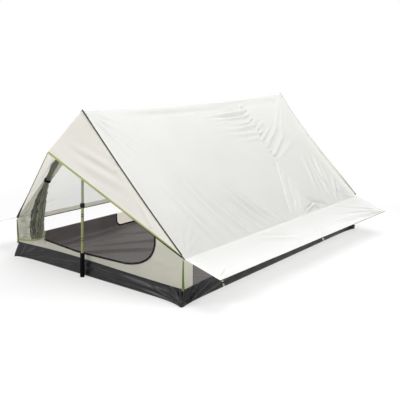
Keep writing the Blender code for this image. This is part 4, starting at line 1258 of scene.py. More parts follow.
    def corner_flare(self, round_way: Array, z: Array, top: Array, points: Array, outs: Array) -> Array:
        """Shift of the walls where a corner's foot is pulled out and the cloth fans into pleats.

        Args:
            round_way: distance of each column round the outline.
            z: height of each column's point.
            top: height of the upper edge there.
            points: the outline's points.
            outs: its outward directions.

        Returns:
            The shift along x and y.
        """
        tug, drop, total = np.zeros_like(points), np.maximum(top - z, 0.0), round_way[-1]
        for index, reach in enumerate(self.reaches):
            way = np.array([index // 2 * 2 - 1, index % 2 * 2 - 1])
            off = points - way * (self.pitch.half_width, self.pitch.half_length)
            gap = round_way - round_way[int(np.argmin(np.hypot(*off.T)))]
            gap = (gap + total / 2) % total - total / 2
            pull = np.exp(-np.abs(gap) / 0.06) * (drop / top) ** 1.1
            turn = np.arctan2(np.abs(gap), z + 0.002) / (math.pi / 2)
            far = np.hypot(gap, z)
            wave = turn * (4.0 + index % 2) + 0.25 * np.sin(4 * turn + index + np.sign(gap))
            size = (self.pleat[0] * ease(far, 0.006, 0.075) * (1 - ease(far, 0.12, 0.34))
                    * ease(np.abs(gap), 0, 0.006))
            size *= ease(drop, -0.006, 0.022) * ease(z, 0, 0.008) * (1 - ease(turn, 0.86, 1.0))
            size *= 1.0 if way[0] > 0 else self.pleat[1]
            tug += way * reach * pull[:, None] + outs * ((np.abs((wave % 1.0) * 2 - 1) - 0.5) * size)[:, None]
        return tug

    def build_shell(self) -> None:
        """Sew the floor and its walls as one cloth."""
        points, outs, spans = self.outline()
        (x, y), half = points.T, np.array([self.pitch.half_width, self.pitch.half_length])
        full = self.pitch.tub_top(x, y)
        top = np.where(x < -0.7, np.minimum(full, self.door_line(y)), full)
        around, folds = walked(points), self.wall_folds()
        loose = 1 - np.exp(-np.hypot(*(half - np.abs(points)).T) / 0.05)
        rings, maps = [], []
        for share in np.linspace(1.0, 0.0, 25) ** 1.15:
            z = top * share
            side_inset = (0.03 - 0.024 * np.clip(x / half[0], 0.0, 1.0)) * np.exp(-z / 0.0075) * loose
            front_inset = 0.01 * np.exp(-z / 0.006) * loose + 0.01 * (z / top) ** 0.9 * (top > 0.05)
            inset = np.stack([side_inset, np.where(y < 0, front_inset, side_inset)], axis=1) + self.thick / 2
            swell = 1.8 * pressed(folds, around, z) + 0.0016 * ripple(around, z, 0.12, 91)
            swell *= ease(full - z, 0, 0.03) * ease(z, 0, 0.012) * np.where(top < 0.08, 0.2, 1.0)
            swell *= np.where(x < 0, ease(loose, 0.2, 1.0), 1.0)
            ring = points - spans * inset * np.where(np.abs(spans) == 1, 1, 0.98) + outs * swell[:, None]
            ring += self.corner_flare(around, z, full, points, outs)
            rings.append(np.column_stack([ring, z + self.thick / 2 + 0.0002]))
            maps.append(points + outs * z[:, None])
        foot, folds = rings[-1], self.floor_folds()
        for share in 1 - np.linspace(0, 1, 66)[1:] ** 0.85 * 0.9994:
            ring = foot * (share, share, 1.0)
            x, y = ring[:, 0], ring[:, 1]
            wave = 0.0022 * (1 + ripple(x, y, 0.45, 93)) + 0.0008 * (1 + ripple(x, y, 0.14, 94))
            ring[:, 2] += (np.maximum(wave + 2.2 * pressed(folds, x, y) + 0.0012, 0.0)
                           * ease(1 - share, 0, 0.07))
            rings.append(ring)
            maps.append(ring[:, :2])
        grid = np.array(rings)
        tub = self.bench.lined("tub_cloth", grid, ("groundsheet", "groundsheet_inside"), self.thick,
                               np.array(maps),
                          nodes=("bathtub_floor",))
        self.bench.declare(tub, grid, (2 * half[0] + 0.22, 2 * half[1] + 0.2), [], "laid")

    def door_curve(self, inset: float, top: float) -> list[tuple[float, float]]:
        """U-shaped line of the side door, as y and z, drawn in by a margin.

        Args:
            inset: the margin.
            top: height of its two upper ends.

        Returns:
            The line, from the front down, along and up at the rear.
        """
        front, rear = self.door_ends[0] + inset, self.door_ends[1] - inset
        foot, radius = self.door_foot + inset, self.door_radius - inset
        bend = [(radius * (1 + math.cos(a)), foot + radius * (1 + math.sin(a)))
                for a in np.radians(np.linspace(180, 270, 15))]
        points = ([(front, z) for z in np.linspace(top, foot + radius, 6)[:-1]]
                  + [(front + y, z) for y, z in bend])
        points += [(y, foot) for y in np.linspace(front + radius, rear - radius, 40)[1:-1]]
        return (points + [(rear - y, z) for y, z in bend[::-1]]
                + [(rear, z) for z in np.linspace(foot + radius, top, 6)[1:]])

    def build_side_door(self) -> None:
        """Fit the pale panel, brightened with painted light, and its zip in the left wall."""
        top, plane = self.pitch.tub_sides[1], -self.pitch.half_width + 0.00075
        inset = self.zip_width + 0.0002
        front, rear = self.door_ends[0] + inset, self.door_ends[1] - inset
        foot, radius = self.door_foot + inset, self.door_radius - inset
        bend = foot + radius * (1 - np.cos(np.radians(np.linspace(0, 90, 12))))
        rows = []
        for z in np.concatenate([bend, np.linspace(foot + radius, top, 12)[1:]]):
            back = radius - math.sqrt(max(radius ** 2 - max(foot + radius - z, 0.0) ** 2, 0.0))
            y = np.linspace(front + back, rear - back, 61)
            swell = 0.0016 * ripple(y, z + 0 * y, 0.16, 95) * np.sin(math.pi * np.linspace(0, 1, 61))
            swell *= math.sin(math.pi * (z - foot) / (top - foot))
            rows.append(np.stack([plane + self.pitch.foot_shift(z) + np.minimum(swell, 0.0004), y,
                                  z + 0 * y], axis=1))
        grid = np.array(rows)
        # Its finish carries painted light: brighter than the lining round it.
        panel = self.bench.skin("side_door_cloth", grid, "door_panel", nodes=("side_door_panel",))
        self.bench.declare(panel, grid, (rear - front, top - foot), ["side_door_zip_tape"])
        path = np.array([(plane + self.pitch.foot_shift(z), y, z) for y, z in self.door_curve(0.0066, top)])
        out = (1.0, 0.0, 0.0)
        self.bench.sweep("side_door_zip_tape", path, flat_outline(0.0011, 0.0134), "zip_tape", out,
                         nodes=("side_door_zip",))
        self.bench.sweep("side_door_zip_coil", path - (0.0007, 0, 0), flat_outline(0.0016, 0.0032),
                         "zip_coil", out)

    def build(self) -> None:
        """Build the groundsheet and the side door."""
        self.build_shell()
        self.build_side_door()


# A point inside the front door, as x and z, from which its outline is seen whole.
DOOR_CENTRE = np.array([0.03, 0.42])


def rays(outline: Array, angles: Array) -> Array:
    """Where rays from the front door's centre leave a closed outline round it.

    Args:
        outline: points of the outline, as x and z.
        angles: directions of the rays.

    Returns:
        One point for each ray.
    """
    ahead = np.stack([np.cos(angles), np.sin(angles)], axis=1)
    step, gap = np.roll(outline, -1, axis=0) - outline, outline - DOOR_CENTRE
    cross = ahead[:, :1] * step[:, 1] - ahead[:, 1:] * step[:, 0]
    cross = np.where(np.abs(cross) < 1e-12, 1e-12, cross)
    far = (gap[:, 0] * step[:, 1] - gap[:, 1] * step[:, 0]) / cross
    share = (gap[:, 0] * ahead[:, 1:] - gap[:, 1] * ahead[:, :1]) / cross
    far = np.where((share >= -1e-9) & (share <= 1 + 1e-9), far, -1.0)
    return DOOR_CENTRE + ahead * far.max(axis=1)[:, None]


@dataclass
class Walls(Part):
    """The inner end walls and the two net walls.

    Attributes:
        returns: how far the end walls run round their corners, front and rear.
        side_gap: how far the end walls stand inside the floor's width.
        shoulder: height of the end walls' ends, and how far in from there the roof line starts.
        net_top: height of the nets' upper edge.
        band: height of the lower and the upper edge of the cloth band over the nets.
    """

    returns: tuple[float, float] = (0.09, 0.045)
    side_gap: float = 0.0018
    shoulder: tuple[float, float] = (0.262, 0.014)
    net_top: float = 0.2725
    band: tuple[float, float] = (0.238, 0.2722)

    def top_line(self, x: Array, end: End) -> Array:
        """Upper edge of an end wall under the fly.

        Args:
            x: how far right the places are.
            end: which wall.

        Returns:
            The heights.
        """
        slope = math.cos(math.radians(46.0))
        close, wide = 0.0016 / slope, 0.0049 / slope
        inset = wide if end is End.FRONT else np.interp(np.abs(x), (0.55, 0.62), (close, wide)) + 0.0015
        return self.pitch.roof_height(x, end.pick(self.pitch.walls)) - inset

    def outer(self) -> Array:
        """Outline of the front wall, as x and z, from the lower left.

        Returns:
            The outline.
        """
        half, (height, start) = self.pitch.half_width - self.side_gap, self.shoulder
        low, high = np.linspace(-half, half, 90), np.linspace(half - start, 0.004, 60)
        right = [(half, height), *zip(high, self.top_line(high, End.FRONT))]
        low_z = self.pitch.tub_top(low, -self.pitch.half_length) + 0.0005
        return np.array([*zip(low, low_z), *right, *((-x, z) for x, z in right[::-1])])

    def build_front(self) -> None:
        """Sew the front wall round its door opening, with its strips round the corners."""
        outer, hole, y = self.outer(), FrontDoor.hole(), self.pitch.walls[0]
        corners = [math.atan2(*(point - DOOR_CENTRE)[::-1]) % TURN for point in np.concatenate([outer, hole])]
        angles = np.unique(np.round(np.concatenate([np.linspace(0, TURN, 721)[:-1], corners]), 4))
        share = np.linspace(0, 1, 41)[:, None]
        flat = mix(rays(hole, angles), rays(outer, angles), share[..., None])
        x, z = flat[..., 0], flat[..., 1]
        folds = fans((-0.76, 0.125, (8, 74), 6, (0.2, 0.34), 0.026, 0.016, 101),
                     (-0.75, 0.27, (-50, 50), 5, (0.14, 0.28), 0.02, 0.015, 105))
        folds += creases((0.2, 0.28, 0.72, 0.2, 0.004, 0.016, 0.3, 0.8),
                         (0.56, 0.17, 0.75, 0.24, 0.0035, 0.012, 0.4, 0.8),
                         (-0.7, 0.3, -0.5, 0.46, 0.004, 0.014, 0.3, 0.8))
        swell = ((pressed(folds, x, z) + 0.0022 * ripple(x, z, 0.22, 102)) * ease(share, 0, 0.12)
                 * ease(1 - share, 0, 0.2))
        grid = np.stack([x, y + np.where(x < -0.35, np.abs(swell), swell), z], axis=2)
        wall = self.bench.skin("front_wall_cloth", grid, "front_lining", flat, True, nodes=("front_wall",))
        area = cut_area(np.concatenate([grid, grid[:, :1]], axis=1))
        self.bench.declare(wall, grid, (1.536, min(0.96, area / 0.31 / 1.536)),
                           ["front_seam_cord", "tub_cloth"], area=area)
        last = -self.pitch.half_length + self.returns[0]
        self.build_strips(End.FRONT, np.linspace(y - 0.0002, last, 16))

    def build_strips(self, end: End, y: Array) -> None:
        """Sew the strips of an end wall that run round its corners.

        Args:
            end: which wall.
            y: places along the strips.
        """
        for side in Side:
            x = side.value * (self.pitch.half_width - 0.00225)
            z = mix(self.pitch.tub_top(x, y) + 0.0012, 0.268, np.linspace(0, 1, 14)[:, None])
            ys = y + 0 * z
            grid = np.stack([x - side.value * np.abs(0.0006 * ripple(ys, z, 0.06, 103)), ys, z], axis=2)
            strip = self.bench.skin(f"{end.word}_wall_strip_{side.word}", grid, "lining")
            self.bench.declare(strip, grid, (abs(y[-1] - y[0]) + 0.001, 0.19), ["tub_cloth"])

    def build_rear(self) -> None:
        """Sew the rear wall and its strips."""
        half, y, (height, start) = self.pitch.half_width - self.side_gap, self.pitch.walls[1], self.shoulder
        x = np.linspace(-half, half, 151)
        low = self.pitch.tub_top(x, self.pitch.half_length) + 0.0005
        inner = half - start
        top = np.where(np.abs(x) > inner, height, self.top_line(np.clip(x, -inner, inner), End.REAR))
        share = np.linspace(0, 1, 61)[:, None]
        z = mix(low, top, share)
        xs = x + 0 * z
        folds = fans((0.0, 1.04, (-110, -70), 5, (0.25, 0.6), 0.004, 0.018, 111),
                     (0.75, 0.15, (100, 165), 5, (0.2, 0.5), 0.004, 0.014, 112),
                     (-0.75, 0.15, (15, 80), 5, (0.2, 0.5), 0.004, 0.014, 113))
        swell = ((pressed(folds, xs, z) + 0.0025 * ripple(xs, z, 0.3, 114)) * ease(share, 0, 0.1)
                 * ease(1 - share, 0, 0.1))
        swell *= ease(half - np.abs(xs), 0, 0.06)
        grid = np.stack([xs, y - swell, z], axis=2)
        wall = self.bench.skin("rear_wall_cloth", grid, "lining", grid[..., ::2], nodes=("rear_wall",))
        self.bench.declare(wall, grid, (1.536, 0.97), ["rear_seam_cord", "tub_cloth"])
        first = self.pitch.half_length - self.returns[1]
        self.build_strips(End.REAR, np.linspace(first, y + 0.0002, 12))

    def build_nets(self) -> None:
        """Hang the two net walls between the tub and the eaves."""
        half = self.pitch.half_length + 0.004
        y = np.linspace(-half + self.returns[0], half - self.returns[1], 161)
        for side in Side:
            x, word = side.value * (self.pitch.half_width - 0.0025), side.word
            share = np.linspace(0, 1, 15)[:, None]
            z = mix(self.pitch.tub_top(x, y) - 0.004, self.net_top, share)
            ys = y + 0 * z
            swell = 0.004 * np.abs(ripple(ys, z, 0.35, 121 + side.value)) + 0.002 * np.sin(y * 41) ** 2
            grid = np.stack([x - side.value * swell * np.sin(math.pi * share), ys, z], axis=2)
            net = self.bench.skin("net_wall_" + word, grid, "net", grid[..., 1:],
                                  nodes=("mesh_wall_" + word,))
            ys = ys[:5]
            band = np.stack([x + side.value * 0.0006 + 0 * ys, ys,
                             mix(*self.band, np.linspace(0, 1, 5)[:, None]) + 0 * ys], axis=2)
            self.bench.declare(self.bench.skin("net_band_" + word, band, "lining"), band, (2.14, 0.035),
                               ["roof_sheet"])
            self.bench.sweep("net_band_tape_" + word, band[0], flat_outline(0.0012, 0.006), "zip_tape",
                             (1.0, 0.0, 0.0))
            self.bench.declare(net, grid, (2.14, 0.19), ["roof_sheet"], "hung")

    def build(self) -> None:
        """Build the four walls."""
        self.build_front()
        self.build_rear()
        self.build_nets()


def bend(first: Sequence[float], control: Sequence[float], last: Sequence[float], count: int) -> list[Array]:
    """Points of a smooth bend, without its first."""
    a, b, c = (np.asarray(point, float) for point in (first, control, last))
    return [a * (1 - t) ** 2 + b * 2 * t * (1 - t) + c * t ** 2 for t in np.arange(1, count + 1) / count]


def straight(first: Sequence[float], last: Sequence[float], count: int) -> list[Array]:
    """Evenly spaced points, without the first."""
    a, b = np.asarray(first, float), np.asarray(last, float)
    return [a + (b - a) * k / count for k in range(1, count + 1)]


@dataclass
class FrontDoor(Part):
    """The front door: zip round the opening, slider, and the door gathered in its tie.

    Attributes:
        face: y of the front wall's outer face.
        pleats: how many folds the gathered door has.
        height: height of the gathered door.
        tie: half width of the tie across the door and along y.
        stops: x, height, depth and width of the gathered door from its top down.
        foot_line: x and height of the tape along the opening's lower left.
    """

    face: float = -1.12
    pleats: int = 7
    height: float = 0.79
    tie: tuple[float, float] = (0.0205, 0.0165)
    stops: tuple[tuple[float, ...], ...] = (
        (-0.083, 0.9, 0.008, 0.03), (-0.198, 0.806, 0.018, 0.052), (-0.302, 0.712, 0.026, 0.07),
        (-0.3935, 0.588, 0.014, 0.04), (-0.442, 0.495, 0.036, 0.092), (-0.486, 0.385, 0.042, 0.136),
        (-0.518, 0.26, 0.043, 0.136), (-0.526, 0.17, 0.038, 0.092))
    foot_line: tuple[tuple[float, float], ...] = (
        (-0.76, 0.122), (-0.7, 0.124), (-0.64, 0.132), (-0.575, 0.146), (-0.52, 0.163), (-0.49, 0.176),
        (-0.462, 0.196), (-0.448, 0.232))

    @staticmethod
    def zip_points() -> list[Array]:
        """Bottom, right side and top of the opening, as x and z.

        Returns:
            The points, from the lower left.
        """
        points = [np.array([-0.462, 0.172])]
        points += straight(points[-1], (-0.133, 0.153), 16) + straight((-0.133, 0.153), (0.3, 0.16), 20)
        points += (bend(points[-1], (0.56, 0.19), (0.543, 0.367), 22)
                   + straight((0.543, 0.367), (0.035, 0.905), 30))
        return points + bend(points[-1], (0.000, 0.945), (-0.04, 0.905), 8)

    @staticmethod
    def hinge_points() -> list[Array]:
        """Sewn left edge of the door from the top down.

        Returns:
            The points, as x and z.
        """
        upper, knee, foot = np.array([-0.04, 0.905]), np.array([-0.462, 0.5]), np.array([-0.462, 0.172])
        above, below = mix(knee, upper, 0.06), mix(knee, foot, 0.1)
        return straight(upper, above, 24) + bend(above, knee, below, 8) + straight(below, foot, 12)

    @staticmethod
    def hole() -> Array:
        """Outline of the opening, as x and z, from the lower left."""
        return np.array(FrontDoor.zip_points() + FrontDoor.hinge_points()[:-1])

    def outward(self, shift: float, gap: float) -> Array:
        """The zip's line moved out from the opening, in front of the wall by a gap.

        Args:
            shift: how far out.
            gap: how far in front.

        Returns:
            Points in space.
        """
        points = np.array(self.zip_points())
        points = points + unit(points - DOOR_CENTRE) * shift
        return np.insert(points, 1, self.face - gap, axis=1)

    def build_zip(self) -> None:
        """Sew the zip's tape, coil and stitching round the opening, and the tape of the sewn edge."""
        tape, coil = self.outward(0.0048, 0.0009), self.outward(0.0022, 0.0014)
        self.bench.sweep("front_door_zip_tape", tape, flat_outline(0.0009, 0.013), "zip_tape",
                         nodes=("front_door_zip",))
        self.bench.sweep("front_door_zip_coil", coil, flat_outline(0.0018, 0.0038), "zip_coil")
        self.bench.stitches("front_door_zip_stitching", self.outward(0.0088, 0.0015), (0, -1, 0))
        hinge = np.insert(np.array(self.hinge_points()) - (0.004, 0), 1, self.face - 0.0006, axis=1)
        self.bench.sweep("front_door_hinge_tape", hinge, flat_outline(0.0008, 0.008), "lining")

    def build_slider(self) -> None:
        """Mount the slider and its pull."""
        low, high, middle = box("front_zip_slider")
        angles = np.linspace(0, TURN, 25)[:-1]
        shield = np.stack([np.sin(angles) * 0.0044 * (1 - 0.28 * np.cos(angles)), np.cos(angles) * 0.006],
                          axis=1)
        depths = np.append(high[1] - np.array([0, 0.0009, 0.0011]),
                           low[1] + np.array([0.0011, 0.0009, 0.0003, 0]))
        path = np.tile(middle, (7, 1))
        path[:, 1] = depths
        sizes = np.repeat(np.array([1, 1, 0.66, 0.66, 1, 1, 0.9])[:, None], 2, axis=1)
        self.bench.sweep("front_zip_slider_body", path, shield, "zip_metal", (0, 0, 1), sizes,
                         body="front_slider",
                    nodes=("front_zip_slider",))
        low, high, middle = box("front_zip_pull")
        share, path = np.linspace(0, 1, 14), np.tile(middle, (14, 1))
        path[:, 2] = np.linspace(high[2], low[2], 14)
        widths = (0.62 + 0.38 * np.abs(np.cos(share * 2.4)) + 0.15 * ease(share, 0.7, 0.9)
                  - 0.35 * ease(share, 0.93, 1.0))
        self.bench.sweep("front_zip_pull_tab", path, flat_outline(0.0013, 0.0056), "zip_metal", sizes=widths,
                         body="front_pull",
                    nodes=("front_zip_pull",))

    def flap_grid(self, rows: int = 110, per_pleat: int = 24) -> Array:
        """Points of the gathered door.

        Args:
            rows: points from the top down.
            per_pleat: points across one fold.

        Returns:
            The points.
        """
        wanted = np.linspace(0, len(self.stops) - 1, rows)
        x, z, depth, width = read_off(wanted, np.arange(len(self.stops)), self.stops).T
        kernel = np.hanning(9) / np.hanning(9).sum()
        x, depth, width = (np.convolve(np.pad(v, 4, mode="edge"), kernel, "valid")[:, None]
                           for v in (x, depth, width))
        t = np.linspace(0.0, self.pleats, self.pleats * per_pleat + 1)
        chance, marks = np.random.default_rng(131), np.arange(self.pleats + 1)
        tall, sway = (np.interp(t, marks, chance.uniform(*ends, len(marks)))
                      for ends in ((0.55, 1.0), (-0.3, 0.3)))
        down = np.linspace(0, 1, rows)[:, None]
        whole = np.ones_like(down)
        across = (t / self.pleats - 0.5 + 0.02 * np.sin(2 * TURN * t)) * whole
        turn = np.cos(TURN * t + 0.5 * np.sin(5 * down + sway * 6))
        fold = np.sign(turn) * np.abs(turn) ** 0.75 * tall
        belly = np.sqrt(np.maximum(1 - (1.7 * across) ** 2, 0.12))
        loose = 0.22 * ripple(down * 2.6, t * 0.5 * whole, 0.55, 132)
        dents = ripple(down * 0.75, t * 0.085 * whole, 0.036, 133)
        back = self.face - np.interp(wanted, (2, 3, 4), (0.0012, 0.0032, 0.0012))[:, None]
        body = (0.5 * (1 + fold) + 0.3 * loose + 0.2 * dents) * belly + 0.04 + 0.5 * (1 - belly) * 0.6
        xs = x + across * width * (1 + 0.25 * loose)
        return np.stack([xs, np.minimum(back - depth * body, back), z[:, None] + 0.3 * across * width],
                        axis=2)

    def build_flap(self) -> None:
        """Gather the open door at the left edge, tie it, and sew the tape at its foot."""
        grid = self.flap_grid()
        area = cut_area(grid)
        # Its finish is painted shade: the wall cloth made darker for the folded layers.
        flap = self.bench.skin("door_gathered", grid, "door_cloth", sharp=80.0, nodes=("door_flap",))
        flat = (max(area / self.height / 0.62, 0.02), self.height)
        self.bench.declare(flap, grid, flat, ["door_tie", "front_wall_cloth"], "gathered")
        slope = unit(np.array([-0.1167, 0.0, -0.2402]))
        across, angle = np.array([-slope[2], 0.0, slope[0]]), np.linspace(0, TURN, 49)[:-1]
        path = box("door_tie_band")[2] + (0, 0.004, 0.006) + np.outer(np.sin(angle), across * self.tie[0])
        path[:, 1] -= np.cos(angle) * self.tie[1]
        self.bench.sweep("door_tie", path, flat_outline(0.01, 0.0012), "black_tape", slope, closed=True,
                         nodes=("door_tie_band",))
        count = len(self.foot_line)
        foot = read_off(np.linspace(0, count - 1, 50), np.arange(count), self.foot_line)
        self.bench.sweep("door_foot_tape", np.insert(foot, 1, self.face - 0.0022, axis=1),
                         flat_outline(0.0024, 0.0105), "edging")

    def build(self) -> None:
        """Build the door."""
        self.build_zip()
        self.build_slider()
        self.build_flap()


@dataclass
class Trims(Part):
    """Corner straps, stake tabs and the skirts' cord loops.

    Attributes:
        strap: width of a corner strap.
        cord: diameter of the guy cord.
        loop: how far a loop hangs.
        holes: where along the hem the loops are tied.
    """

    strap: float = 0.012
    cord: float = 0.0024
    loop: float = 0.034
    holes: tuple[tuple[str, float], ...] = (("front", 0.007), ("middle", 0.52))

    def build_loop(self, side: Side, word: str, along: float) -> None:
        """Args:
            side: which skirt.
            word: the loop's name.
            along: its place on the hem.
        """
        drop = unit(np.array([side.value * 0.35, 0.0, -0.937]))
        y_way, body = np.array([0.0, 1.0, 0.0]), "skirt_" + side.word
        out, start = np.cross(drop, y_way), self.pitch.hem(along) * (side.value, 1, 1) + drop * 0.0017
        fall, turn = np.linspace(0.0, self.loop - 0.003, 12), np.linspace(0, math.pi, 13)[1:-1]
        wide = 0.0026 + 0.002 * ease(fall, 0.018, self.loop - 0.002)
        falls = np.concatenate([fall, self.loop - 0.003 + 0.0046 * np.sin(turn), fall[::-1]])
        widths = np.concatenate([-wide, -0.0046 * np.cos(turn), wide[::-1]])
        path = start + np.outer(falls, drop) + np.outer(widths, y_way)
        piece = self.bench.sweep(f"cord_loop_{word}_{side.word}", path, round_outline(self.cord / 2), "cord",
                                 out, sharp=80,
                            body=body, nodes=(f"guy_loop_{word}_{side.word}",))
        twist = np.linspace(0, TURN, 41)[:-1]
        wrap = 0.0042 + 0.001 * np.cos(3 * twist)
        knot = (start + np.outer(0.0085 + 0.0012 * np.sin(3 * twist), drop)
                + np.outer(wrap * np.cos(2 * twist), out))
        knot = knot + np.outer(wrap * np.sin(2 * twist), y_way)
        self.bench.sweep(f"cord_knot_{word}_{side.word}", knot, round_outline(self.cord / 2, 8), "cord",
                         drop, closed=True, body=body)
        round(float(walked(path)[-1]), 4)

    def build_loops(self) -> None:
        """Tie the loops of both skirts."""
        for side in Side:
            for word, along in self.holes:
                self.build_loop(side, word, along)

    def build_strap(self, end: End, side: Side) -> None:
        """Sew one corner's strap with its box of stitches.

        Args:
            end: the corner's end of the tent.
            side: its side.
        """
        name, way, front = f"{end.word}_{side.word}", end.value, end is End.FRONT
        corner = self.pitch.corner(end) * (side.value, 1, 1)
        x, y = corner[0] - side.value * self.strap / 2, end.pick((-1.12, 1.13)) + way * 0.0016
        low = float(self.pitch.tub_top(x, way * self.pitch.half_length)) - 0.008
        knots = [(x, y - 0.0035 * front, low), (x, y, low + 0.014),
                 (x, y if front else corner[1] - 0.006, 0.263)]
        steps = np.concatenate([np.linspace(0, 1, 10), np.linspace(1, 2, 24)[1:]])
        path = read_off(steps, np.arange(3), knots)
        path[:, 1] += way * 0.0008 * np.sin(steps * 5.0)
        wide = np.interp(steps, (0, 1, 1.4, 2), (1.65, 1.6, 1.15, 0.55))
        self.bench.sweep("strap_" + name, path, flat_outline(0.0016, self.strap), "strap", sizes=wide,
                    nodes=("corner_strap_" + name,))
        turns = ((-1, -1), (1, -1), (1, 1), (-1, 1), (-1, -1), (1, 1))
        thread = [(x + a * 0.0042, y - 0.0025 * front + way * 0.0012, low + 0.01 + b * 0.0075)
                  for a, b in turns]
        self.bench.stitches("strap_box_" + name, np.array(thread), (0, way, 0), 0.0028, 0.0019)

    def build_tab(self, end: End, side: Side) -> None:
        """Fold one corner's stake tab round its plain solid's place.

        Args:
            end: the corner's end of the tent.
            side: its side.
        """
        name, rise = f"{end.word}_{side.word}", np.array([0.0, 0.0, 1.0])
        aim, half = np.array([side.value, end.value, 0.0]) / math.sqrt(2), 0.0242
        steps, turn = np.linspace(-half, half, 18), np.radians(np.linspace(60, -60, 5))
        far = np.concatenate([steps, half + 0.0008 * np.cos(turn), steps[::-1]])
        high = np.concatenate([np.full(18, 0.0006), 0.0006 * np.sin(turn), np.full(18, -0.0005)])
        tilt = np.concatenate([np.full(18, math.pi / 2), turn, np.full(18, -math.pi / 2)])
        path = box("stake_tab_" + name)[2] + np.outer(far, aim) + np.outer(high, rise)
        ups = np.outer(np.cos(tilt), aim) + np.outer(np.sin(tilt), rise)
        self.bench.sweep("tab_" + name, path, flat_outline(0.0007, 0.0195), "black_tape", ups,
                         nodes=("stake_tab_" + name,))

    def build(self) -> None:
        """Build the straps and tabs; the loops are built before the fly."""
        for end in End:
            for side in Side:
                self.build_strap(end, side)
                self.build_tab(end, side)


@dataclass
class Pole(Part):
    """A walking pole that stands on its grip: its grip and bands turned anew.

    Attributes:
        end: which end of the tent it holds up.
        foot_x: x of its foot.
        lead: how far its foot stands outside the floor.
        grip: length of the foam grip.
        ribbed: heights between which the foam is ribbed, and the distance between ribs.
        bands: heights of the plain bands on the handle tube.
    """

    end: End
    foot_x: float
    lead: float
    grip: float = 0.163
    ribbed: Triple = (0.03, 0.14, 0.0062)
    bands: tuple[float, ...] = (0.405, 0.418, 0.262, 0.246)

    def turned(self, name: str, profile: Array, finish: str, segments: int, ring: bool) -> None:
        """Turn a profile round the pole's own line.

        Args:
            name: the piece's name.
            profile: pairs of radius and height.
            finish: the name of its finish.
            segments: faces round the line.
            ring: whether the profile closes on itself.
        """
        foot = np.array([self.foot_x, self.end.value * (self.pitch.half_length + self.lead), 0.0008])
        up = unit(self.pitch.apex(self.end) - (0, 0, 0.022) - foot)
        side = unit(np.cross(up, (0.0, 1.0, 0.0)))
        circle = round_outline(1.0, segments) @ np.array([side, np.cross(side, up)])
        radius, height = profile.T
        verts = (foot + np.outer(height, up))[:, None] + radius[:, None, None] * circle
        plain = f"{self.end.word}_pole_grip"
        self.bench.piece(name, verts.reshape(-1, 3), tube(len(profile), segments, ring), finish,
                    body=f"{self.end.word}_pole_handle", nodes=() if ring else (plain,))

    def build(self) -> None:
        """Turn the grip and the bands."""
        word, z = self.end.word, np.linspace(0.006, self.grip - 0.004, 150)
        shape = np.interp(z, (0.0, 0.004, 0.012, 0.035, 0.06, 0.085, 0.11, 0.135, 0.155, 0.163),
                          (0.0148, 0.0156, 0.0158, 0.0143, 0.015, 0.0141, 0.015, 0.0143, 0.0158, 0.0145))
        low, high, step = self.ribbed
        ribs = 0.0007 * np.abs(np.sin(z * math.pi / step)) ** 0.6 * ((z > low) & (z < high))
        profile = [(0.0125, 0.0), (0.0142, 0.0012), (0.015, 0.0045), (0.0149, 0.0055),
                   *zip(shape - 0.0007 + ribs, z),
                   (0.0132, self.grip - 0.001), (0.0106, self.grip), (0.0092, self.grip), (0.0092, 0.006)]
        self.turned(f"{word}_grip_foam", np.array(profile), "foam", 40, False)
        band = np.array([(0.00895, -0.0035), (0.00915, -0.0032), (0.00915, 0.0032), (0.00895, 0.0035),
                         (0.00885, 0.0034), (0.00885, -0.0034)])
        for index, height in enumerate(self.bands):
            self.turned(f"{word}_pole_band_{index}", band + (0, height), "paint", 32, True)


# The finish of each plain solid that stays, at both ends of the tent where its name says so.
PLAIN_FINISHES = {
    "olive_alloy": "{end}_pole_handle_tube", "grey_alloy": "{end}_pole_middle_tube {end}_pole_tip_tube",
    "clamp": "{end}_pole_lower_clamp {end}_pole_upper_clamp {end}_pole_lower_clamp_lever "
             "{end}_pole_upper_clamp_lever door_tie_toggle cord_lock_left cord_lock_right",
    "brass": "apex_grommet_{end}", "black_tape": "apex_webbing_{end}", "zip_metal": "side_zip_slider"}


def dress_plain(bench: Bench) -> None:
    """Give the plain pieces that stay their finished surfaces.

    Args:
        bench: holds the finishes.
    """
    for finish, names in PLAIN_FINISHES.items():
        for name in {name.format(end=end.word) for end in End for name in names.split()}:
            for place in bpy.data.objects[name].material_slots:
                place.link = "OBJECT"
                place.material = bench.finishes[finish]


